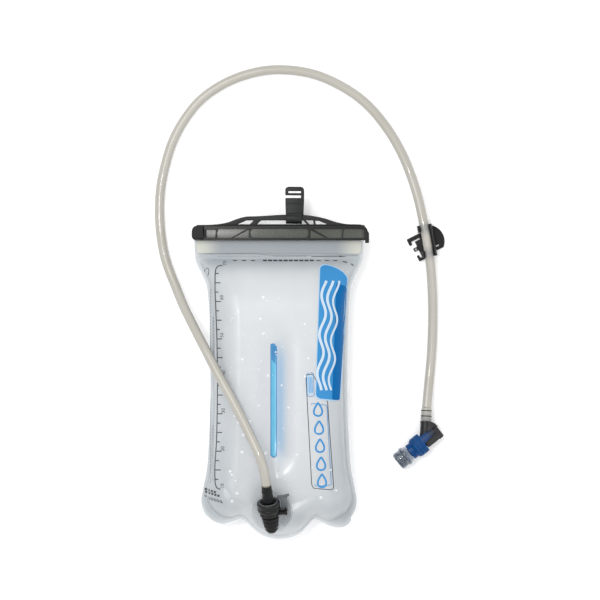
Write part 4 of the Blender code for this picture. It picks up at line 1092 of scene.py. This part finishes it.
class BLADDER_OT_closure(bpy.types.Operator):
    """Slide rail with its windowed face and end stops, and the arched handle."""
    bl_idname = "bladder.closure"
    bl_label = "Closure"

    def execute(self, context):
        look = looks(context.scene)
        along = placing((-RAIL_HALF, 0, 0), (1, 0, 0), (0, 1, 0))
        low, high, foot, top, seam = 22.0, 34.5, 122.5, 137.2, 27.0
        outer = [(foot, low), (top - 0.2, low), (top, high), (foot, high), (foot, seam + 1.6)]
        inner = [(foot + 2, seam + 1.6), (foot + 2, high - 1.6), (top - 2, high - 1.6), (top - 2, low + 2),
                 (foot + 2, low + 2), (foot + 2, seam - 1.6), (foot, seam - 1.6)]
        radius = [0.5, 2.6, 2.6, 0.8, 0.4, 0.4, 0.8, 1.0, 1.0, 0.8, 0.4, 0.4]
        channel = plate("rail_channel", [rounded(outer + inner, radius, 4)], 5.0, 2 * RAIL_HALF - 4.0,
                        look["smoke"], "closure", along, 0.25)
        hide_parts("slide_rail")
        face = [(-88.6, 122.5), (84.8, 122.5), (88.6, 122.5), (88.6, 129.0), (85.0, 137.2), (-88.6, 137.2)]
        corner = [5.0, 0.3, 0.3, 2.0, 5.0, 10.0]
        windows = [
            rounded([(-73.8, 125.0), (-65.4, 125.0), (-64.4, 133.0), (-73.8, 133.0)], 1.0),
            rounded([(-63.2, 124.8), (-49.6, 124.8), (-34.0, 133.6), (-62.6, 133.6)], 1.0),
            rounded([(-47.4, 124.8), (-31.8, 124.8), (-31.6, 133.0)], 0.5),
            rounded([(-29.8, 124.8), (27.8, 124.8), (28.4, 133.8), (-30.2, 133.8)], 4.2),
            rounded([(29.8, 124.8), (45.4, 124.8), (30.0, 132.6)], 0.5),
            rounded([(47.8, 124.8), (60.8, 124.8), (61.6, 133.6), (32.6, 133.6)], 1.0),
            rounded([(62.4, 124.8), (82.4, 124.8), (82.0, 133.6), (63.2, 133.6)], 1.2),
        ]
        front = plate("rail_face", [rounded(face, corner, 6)] + windows, 34.45, 35.2, look["edge"], "closure",
                      None, 0.16)
        rim = plate("rail_window_rim",
                    [rounded([(-30.5, 124.1), (28.5, 124.1), (29.1, 134.5), (-30.9, 134.5)], 4.6),
                     windows[3]], 34.9, 35.35, look["worn"], "closure", None, 0.12)
        ribs = [plate(f"rail_rib_{index + 1}",
                      [rounded([(x - 0.45, 124.4), (x + 0.45, 124.4), (x + 0.45 + lean, 134.6),
                                (x - 0.45 + lean, 134.6)], 0.3)],
                      34.9, 35.5, look["edge"], "closure", None, 0.12)
                for index, (x, lean) in enumerate(((-64.0, 1.2), (61.6, 1.0), (-77.0, 0.0), (83.6, 0.0)))]
        cap = plate("rail_end_left",
                    [rounded([(-88.5, 122.6), (-75.6, 122.6), (-75.6, 137.1), (-88.5, 137.1)],
                             [5.0, 0.4, 0.4, 10.0], 6)],
                    22.2, 35.6, look["black"], "closure", None, 1.6, 4)
        end_stop = plate("rail_latch",
                         [rounded([(84.6, 119.7), (88.5, 119.7), (88.5, 130.0), (86.4, 130.0), (84.4, 126.0)],
                                   0.7)],
                         33.1, 35.5, look["black"], "closure", None, 0.4)
        lip = plate("rail_lip",
                    [rounded([(-86.0, 122.4), (84.4, 122.4), (84.4, 123.5), (-86.0, 123.5)], 0.4)],
                    33.6, 35.4, look["edge"], "closure", None, 0.3)
        self.handle(look)
        return {"FINISHED"}

    def handle(self, look):
        """Handle: an arch drawn by a smooth curve, with its struts left between four windows."""
        rise = [(-84, 137.7), (-72, 138.0), (-60, 138.9), (-52, 140.6), (-44, 143.6), (-34.8, 146.1),
                (-25.4, 146.5), (34.9, 146.4), (44, 144.4), (54, 141.2), (64, 139.0), (80, 138.3),
                (84, 137.9)]
        x = np.linspace(-84, 84, 90)
        arch = np.stack([x, smooth_value(rise, x)], axis=1)
        outline = np.concatenate([[(-84, 137.25), (84, 137.25)], arch[::-1]])
        windows = [
            rounded([(-42.5, 138.5), (-30.6, 138.5), (-26.8, 142.3), (-33.6, 142.3)], 0.6),
            rounded([(-23.2, 138.5), (26.4, 138.5), (22.8, 142.3), (-19.2, 142.3)], 0.8),
            rounded([(29.2, 138.5), (33.2, 138.5), (32.6, 142.3), (25.4, 142.3)], 0.5),
            rounded([(35.4, 138.5), (46.4, 138.5), (38.6, 141.8), (34.8, 142.1)], 0.5),
        ]
        bar = plate("rail_handle_arch", [outline] + windows, HANDLE_Z - 2.1, HANDLE_Z + 2.1, look["worn"],
                    "closure", None, 0.7, 3)
        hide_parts("rail_handle")


class BLADDER_OT_hook(bpy.types.Operator):
    """Webbing hook: slotted plate and the curl that turns on the handle bar."""
    bl_idname = "bladder.hook"
    bl_label = "Hook"

    def execute(self, context):
        look = looks(context.scene)
        x0, x1 = HOOK_X - 9.5, HOOK_X + 9.5
        outline = [(x0 + 0.6, 147.6), (x1 - 0.6, 147.6), (x1, 165), (x1, 176.1), (x0, 176.1), (x0, 167.3),
                   (x1 - 3.2, 167.3), (x1 - 3.2, 164.8), (x0, 164.8)]
        radius = [0.8, 0.8, 4.0, 4.4, 4.4, 1.2, 1.0, 1.0, 1.2]
        slot = rounded([(x0 + 3.2, 169.7), (x1 - 3.2, 169.7), (x1 - 3.2, 171.5), (x0 + 3.2, 171.5)], 0.7)
        blade = plate("hook_blade", [rounded(outline, radius, 6), slot], HANDLE_Z - 1.6, HANDLE_Z + 2.0,
                      look["worn"], "hook", None, 0.7, 3)
        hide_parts("hang_hook")
        for name, low, high in (("hook_panel_upper", 159.4, 164.0), ("hook_panel_lower", 148.6, 158.4)):
            box = rounded([(x0 + 0.9, low), (x1 - 0.9, low), (x1 - 0.7, high), (x0 + 0.7, high)], 0.9)
            plate(name, [box], HANDLE_Z + 1.6, HANDLE_Z + 2.5, look["worn"], "hook", None, 0.25)
        across = placing((x0 + 0.6, 0, 0), (1, 0, 0), (0, 1, 0))
        curl = [arc((BAR_Y, HANDLE_Z), 5.55, 0, 355, 71), arc((BAR_Y, HANDLE_Z), 3.3, 0, 355, 71)]
        plate("hook_curl", curl, 0, 16.2, look["worn"], "hook", across, 0.6, 3)
        bridge = rounded([(x0 + 0.9, 146.2), (x1 - 2.2, 146.2), (x1 - 0.9, 149.6), (x0 + 0.7, 149.6)], 0.6)
        plate("hook_root", [bridge], HANDLE_Z - 1.4, HANDLE_Z + 4.4, look["worn"], "hook",
                           None, 1.2, 3)
        return {"FINISHED"}


class BLADDER_OT_port(bpy.types.Operator):
    """Outlet port: weld flange, dark ribbed barrel, tinted guard, lock collar and release button."""
    bl_idname = "bladder.port"
    bl_label = "Port"

    def execute(self, context):
        look = looks(context.scene)
        port = placing(PORT_AT, PORT_AXIS, PORT_SIDE)
        flange = self.flange(look)
        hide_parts("port_housing")
        barrel = [(7.6, -0.4), (8.8, -0.4), (8.8, -11.6), (7.3, -13.0), (7.1, -20), (6.2, -26.8),
                  (5.0, -30.6), (3.9, -30.8), (3.9, -26.6), (5.4, -26.4), (5.4, -10.6), (7.6, -10.4)]
        shell = lathe("port_barrel", barrel, look["edge"], "reservoir", port, 0.3)
        cap = lathe("port_barrel_end", [(0, -31.2), (4.4, -31.2), (4.8, -30.4), (0, -30.2)], look["edge"],
                    "reservoir", port, 0.2)
        for index, (radius, at) in enumerate(((7.8, -15.2), (7.3, -19.2), (6.8, -23.2), (5.9, -27.2))):
            ring = [(radius - 0.9, at - 1.5), (radius + 0.5, at - 1.3), (radius + 0.5, at + 1.3),
                    (radius - 0.9, at + 1.5)]
            lathe(f"port_rib_{index + 1}", ring, look["black"], "reservoir", port, 0.3, 48)
        flat = port @ Matrix.Rotation(math.radians(-90), 4, "X")
        guard = [(8.2, 12), (17, 12), (18.8, 10.6), (18.8, -4.5), (21.6, -6.0), (21.2, -8.2), (16.6, -7.4),
                 (9.0, -7.4), (9.0, -4.4), (12.2, -3.2), (12.3, 6.6), (8.2, 11.2)]
        fence = plate("port_guard", [rounded(guard, [0.5, 1, 1, 1.5, 0.8, 0.8, 1, 1, 1, 1.5, 1.5, 0.4], 4)],
                      1.7, 3.2, look["tinted"], "reservoir", flat, 0.3)
        wall = plate("port_guard_wall",
                     [rounded([(17.6, 11.4), (18.7, 10.8), (18.7, -1.6), (17.4, -5.0), (16.4, -4.4),
                               (17.6, -1.4)],
                              0.5)],
                     -3.4, 3.0, look["clear"], "reservoir", flat, 0.3)
        collar = [(9.15, -6.8), (9.15, -0.1), (6.0, -0.1), (6.0, 0.9), (7.9, 0.9), (8.2, 2.2), (9.4, 3.0),
                  (10.6, 2.9), (11.5, 2.0), (11.5, -1.2), (10.6, -1.8), (10.6, -2.8), (11.5, -3.4),
                  (11.5, -5.8), (10.8, -6.8)]
        ring = lathe("lock_collar_ring", collar, look["edge"], "reservoir", port, 0.3, 96)
        # a tinted ring on the collar's face: painted highlight along its inner edge
        lip = lathe("lock_collar_highlight_ring", [(8.3, 2.0), (9.5, 2.0), (9.3, 3.5), (8.6, 3.5)], look["tinted"],
                    "reservoir", port, 0.25, 80)
        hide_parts("lock_collar")
        # grey lines along the flange's ridges on one side only: painted shade, in the grey ink look
        turn = np.radians(np.linspace(-52, 34, 40))
        ridge_shade_arcs = [ribbon(np.stack([FLANGE_X + r * np.cos(turn), FLANGE_Y + r * np.sin(turn)], axis=1), 0.55)
                for r in (12.4, 14.3, 16.2, 18.1)]
        lines = drape("flange_ridge_shade", ridge_shade_arcs, look["ink_pale"], 3.8)
        self.button(look, port)
        return {"FINISHED"}

    def flange(self, look):
        """Weld flange: a disc that follows the film, with fine concentric ridges.

        Top = film height + 3, plus 0.18 (1 + cos) every 1.9 of radius outside 8, less 0.7 at the rim.
        Underside = film height + 2.
        """
        radius = np.concatenate([[0.001], np.linspace(2.0, 20.2, 84), [20.5]])
        turn = np.linspace(0, 2 * math.pi, 96, endpoint=False)
        r, a = np.meshgrid(radius, turn, indexing="ij")
        x, y = FLANGE_X + r * np.cos(a), FLANGE_Y + r * np.sin(a)
        ridge = 0.18 * (1 + np.cos(2 * math.pi * r / 1.9)) * (r > 8)
        top = front_height(x, y) + 3.0 + ridge - 0.7 * (r > 20.3)
        low = front_height(x, y) + 2.0
        grid = np.concatenate([np.stack([x, y, top], axis=2), np.stack([x, y, low], axis=2)[::-1]])
        return piece("port_flange", grid, grid_faces(len(grid), 96, False, True), look["clear"], "reservoir")

    def button(self, look, port):
        """Release button: a flat plate round the plug with a ribbed pad at its outer end."""
        body = rounded([(-9.6, -7.0), (8.6, -7.0), (8.6, -6.4), (16.2, -6.4), (16.2, -1.2), (8.6, -1.2),
                        (8.6, 7.0), (-9.6, 7.0)], [3, 1, 0.3, 0.4, 0.4, 0.3, 3, 3])
        hole = rounded([(-5.7, -5.7), (7.4, -5.7), (7.4, 5.7), (-5.7, 5.7)], 5.6, 10)
        blade = plate("release_plate", [body, hole], -10.1, -7.3, look["black"], "button", port, 0.3)
        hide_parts("release_button")
        pad = rounded([(15.4, -6.6), (17.2, -6.6), (17.2, 1.3), (15.4, 1.3)], 0.7)
        grip = plate("release_pad", [pad], -11.0, -6.4, look["black"], "button", port, 0.5, 3)
        for index, y in enumerate((-5.4, -3.9, -2.4, -0.9)):
            rib = rounded([(16.9, y - 0.35), (17.5, y - 0.25), (17.5, y + 0.25), (16.9, y + 0.35)], 0.15)
            plate(f"release_rib_{index + 1}", [rib], -10.4, -7.0, look["worn"], "button",
                               port, 0.1)


class BLADDER_OT_clip(bpy.types.Operator):
    """Hose clip and the turning strap hook below it."""
    bl_idname = "bladder.clip"
    bl_label = "Clip"

    def execute(self, context):
        look = looks(context.scene)
        seat = placing(CLIP_AT, CLIP_ALONG, CLIP_ALONG.cross(Vector((0, 0, 1))))
        parts = []
        for name, start, stop, low, high in (("clip_band_upper", -42, 222, -16.5, -9.4),
                                             ("clip_band_lower", -42, 222, 9.0, 16.0),
                                             ("clip_bridge", 86, 222, -10.0, 9.6)):
            outline = np.concatenate([arc((0, 0), 7.4, start, stop, 40), arc((0, 0), 6.1, stop, start, 40)])
            parts.append(plate(name, [outline], low, high, look["black"], "clip", seat, 0.3))
        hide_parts("hose_clip")
        outline = np.concatenate([arc((0, 0), 7.75, -30, 210, 40), arc((0, 0), 7.2, 210, -30, 40)])
        parts.append(joined("clip_ribs",
                            [plate("rib", [outline], at - 0.4, at + 0.4, look["worn"], None, seat, 0.15)
                             for at in (-15.6, -12.9, -10.2, 9.9, 12.5, 15.1)], "clip"))
        turn = Matrix.Translation(STRAP_AT * MM) @ Matrix.Rotation(STRAP_TURN, 4, "Z")
        disc = arc((0.7, 0), 16.3, -47.5, 96, 36)
        comb = [(-1.0, 11.2), (-18.2, 11.0), (-18.2, 3.8), (-15.2, 3.8), (-15.2, 7.0), (-6.0, 7.2),
                (-6.0, 5.6), (-11.8, 5.4), (-11.8, 0.0), (-16.4, 0.0), (-16.4, -3.6), (-11.8, -3.6),
                (-11.8, -11.4), (-13.9, -11.4), (-13.9, -8.2), (-16.3, -8.2), (-16.3, -14.4), (-4, -14.4),
                (-2.0, -12.2)]
        outline = np.concatenate([disc, rounded(comb, 0.6, 3)])
        slot = rounded([(5.2, -8.8), (8.8, -8.8), (8.8, -7.1), (5.2, -7.1)], 0.8)
        eye = arc((-14.2, -1.8), 1.0, 0, 350, 20)
        hook = plate("strap_hook_plate", [outline, slot, eye], 0.1, 1.9, look["black"], "strap", turn, 0.4, 3)
        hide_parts("strap_hook")
        rim = np.concatenate([arc((0.7, 0), 16.2, -46, 94, 36), arc((0.7, 0), 14.8, 94, -46, 36)])
        bead = plate("strap_hook_rim", [rim], 1.2, 2.4, look["worn"], "strap", turn, 0.4, 3)
        hub = lathe("strap_hook_hub", [(0, 1.0), (4.6, 1.0), (4.6, 2.3), (0, 2.4)], look["black"],
                    "strap", turn, 0.3)
        context.scene["clip_pieces"] = [item.name for item in (*parts, hook, bead, hub)]
        return {"FINISHED"}


class BLADDER_OT_valve(bpy.types.Operator):
    """Bite valve: elbow, ribbed shut-off collar with its lever, neck and silicone mouthpiece."""
    bl_idname = "bladder.valve"
    bl_label = "Bite valve"

    def execute(self, context):
        look = looks(context.scene)
        seat = placing(VALVE_AT, VALVE_AXIS, Vector((0, 0, 1)))
        arm_seat, reach = hose_end_seat()
        back = [(0, 29.0), (5.0, 29.0), (5.0, 34.2), (7.6, 34.2), (8.0, 35.2), (8.0, 48.0), (8.4, 48.8),
                (8.4, 52.6), (7.4, 53.8), (0, 53.8)]
        # the head is an eight-sided bar: radius = flat / cos of the angle from the nearest flat's middle
        sided = lambda a, s, r: np.where(
            r > 6.5, r * 0.95 / np.cos((a + math.pi / 8) % (math.pi / 4) - math.pi / 8), r)
        elbow = lathe("elbow_body", back, look["brown"], "elbow", seat, 0.5, 64, sided, 24.0)
        arm = [(3.3, reach), (5.3, reach), (5.5, reach + 0.8), (5.5, reach + 15.4), (3.3, reach + 15.4)]
        spigot = lathe("elbow_arm", arm, look["brown"], "elbow", arm_seat, 0.4)
        lip = [(4.0, reach), (5.9, reach), (5.9, reach + 1.8), (4.0, reach + 1.8)]
        nose = lathe("elbow_lip", lip, look["brown"], "elbow", arm_seat, 0.4)
        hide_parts("valve_elbow")
        web = plate("elbow_web",
                    [rounded([(146.0, -59.2), (151.0, -58.9), (154.8, -60.6), (157.6, -63.6), (152.0, -71.0),
                              (146.0, -70.0)], [0.5, 1, 1, 1, 1, 1])],
                    4.8, 16.2, look["brown"], "elbow", None, 1.2, 3)
        # shut-off collar: neck, shoulder and a knurled ring of 26 teeth
        collar = [(5.2, 16.4), (8.0, 16.4), (8.2, 17.2), (8.2, 21.2), (9.4, 22.0), (10.3, 24.0), (10.4, 25.0),
                  (10.4, 32.6), (9.6, 33.9), (6.6, 33.9), (6.6, 20.4), (5.2, 19.4)]
        teeth = lambda a, s, r: r - 0.45 * (0.5 - 0.5 * np.cos(26 * a)) * ((r > 9.9) & (s > 23.5))
        knob = lathe("shutoff_ring", collar, look["blue"], "shutoff", seat, 0.5, 156, teeth)
        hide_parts("shutoff_collar")
        # the lighter blue rings on the collar's ridges are painted highlights
        edges = joined("shutoff_edges",
                       [lathe("edge", [(9.0, at - 0.5), (10.55, at - 0.5), (10.55, at + 0.5),
                                       (9.0, at + 0.5)], look["blue_painted_highlight"], None, seat, 0.3, 80)
                        for at in (24.6, 28.6, 32.8)], "shutoff")
        paddle = self.lever(look["blue_lever"], seat)
        neck = [(0, 8.0), (4.6, 8.0), (4.8, 12.0), (4.8, 16.0), (4.8, 28.4), (3.0, 28.4),
                (3.0, 12.0), (0, 12.0)]
        stem = lathe("valve_neck", neck, look["blue"], "shutoff", seat, 0.3)
        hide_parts("valve_stem")
        # mouthpiece: oval lip, closed slit face, two soft ridges
        soft = [(0, 2.8), (4.8, 2.6), (6.2, 1.0), (7.2, 0.4), (8.4, 1.4), (8.8, 3.0), (8.6, 5.0), (8.9, 7.0),
                (8.7, 8.2), (9.8, 9.2), (10.1, 10.6), (9.9, 12.2), (8.3, 13.6), (8.1, 15.9), (5.2, 15.9),
                (5.2, 7.4), (0, 7.4)]
        slit = lambda a, s, r: r * (1 - 0.05 * np.cos(2 * a) * (s < 6))
        mouth = lathe("mouthpiece", soft, look["silicone"], "bite", seat, 0.9, 72, slit)
        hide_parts("bite_valve")
        # a thin dark plate in the closed slit: painted shade of the cut
        slit_shade = plate("mouthpiece_slit_shade",
                     [rounded([(-0.35, -5.2), (0.35, -5.2), (0.35, 5.2), (-0.35, 5.2)], 0.3)],
                     2.2, 2.75, look["rubber"], "bite", seat, 0.1)
        context.scene["valve_pieces"] = [
            item.name for item in (elbow, web, spigot, nose, knob, paddle, stem, mouth, slit_shade, edges)]
        return {"FINISHED"}

    def lever(self, look, seat):
        """Shut-off lever: a shell over the elbow that narrows to a round tip.

        At share t of its length the half angle is 27 degrees times (1 - 0.3 t) times the root of 1 - t^16,
        the outside radius is 10.3 - 0.9 t, and the shell is 1.6 thick.
        """
        t = 1 - np.linspace(1, 0, 30)[:, None] ** 1.6
        half = np.radians(27) * (1 - 0.3 * t) * np.sqrt(np.clip(1 - t ** 16, 0, 1))
        angle = math.radians(-16) + half * np.linspace(-1, 1, 17)[None, :]
        s = 32.8 + 16.0 * t + 0 * angle
        shells = [np.stack([radius * np.cos(angle), radius * np.sin(angle), s], axis=2)
                  for radius in (10.3 - 0.9 * t, 8.7 - 0.15 * t)]
        ring = np.concatenate([shells[0], shells[1][:, ::-1]], axis=1)
        ends = [np.repeat(ring[end].mean(axis=0)[None, None], ring.shape[1], axis=1) for end in (0, -1)]
        ring = np.concatenate([ends[0], ring, ends[1]])
        return piece("shutoff_lever", ring, grid_faces(*ring.shape[:2], False, True), look, "shutoff", seat,
                     {"run": ring[..., 2]})


class BLADDER_OT_carried(bpy.types.Operator):
    """Materials for the parts kept from the model."""
    bl_idname = "bladder.carried"
    bl_label = "Kept parts"

    def execute(self, context):
        look = looks(context.scene)
        kept = {"valve_seat": "black", "check_spring": "steel", "release_spring": "steel",
                "check_poppet": "black", "poppet_seal": "rubber", "plug_body": "black",
                "plug_oring_1": "rubber", "plug_oring_2": "rubber", "elbow_oring": "rubber"}
        for name, finish in kept.items():
            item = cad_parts[name]
            for slot in item.material_slots:
                slot.material = look[finish]
        return {"FINISHED"}


class BLADDER_PT_panel(bpy.types.Panel):
    """Lists the pieces in the order they are built."""
    bl_idname = "BLADDER_PT_panel"
    bl_label = "Hydration bladder"
    bl_space_type = "VIEW_3D"
    bl_region_type = "UI"
    bl_category = "Bladder"

    def draw(self, context):
        for step in STEPS:
            self.layout.operator("bladder." + step)
        for group in ("film", "ink", "hose", "mould", "stage"):
            settings = getattr(context.scene, "bladder_" + group)
            box = self.layout.box()
            for key in settings.bl_rna.properties.keys():
                if key not in ("rna_type", "name"):
                    box.prop(settings, key)


STEPS = ("stage", "hose", "film", "baffle", "prints", "closure", "hook", "port", "clip", "valve", "carried")
GROUPS = {"film": BladderFilm, "ink": BladderInk, "hose": BladderHose, "mould": BladderMould,
          "stage": BladderStage}
CLASSES = (*GROUPS.values(), BLADDER_OT_stage, BLADDER_OT_hose, BLADDER_OT_film, BLADDER_OT_baffle,
           BLADDER_OT_prints, BLADDER_OT_closure, BLADDER_OT_hook, BLADDER_OT_port, BLADDER_OT_clip,
           BLADDER_OT_valve, BLADDER_OT_carried, BLADDER_PT_panel)


def register():
    for item in CLASSES:
        bpy.utils.register_class(item)
    for name, group in GROUPS.items():
        setattr(bpy.types.Scene, "bladder_" + name, PointerProperty(type=group))


def unregister():
    for name in GROUPS:
        delattr(bpy.types.Scene, "bladder_" + name)
    for item in reversed(CLASSES):
        bpy.utils.unregister_class(item)


def main():
    """Build everything in order."""
    register()
    for step in STEPS:
        getattr(bpy.ops.bladder, step)()


if __name__ == "__main__":
    main()
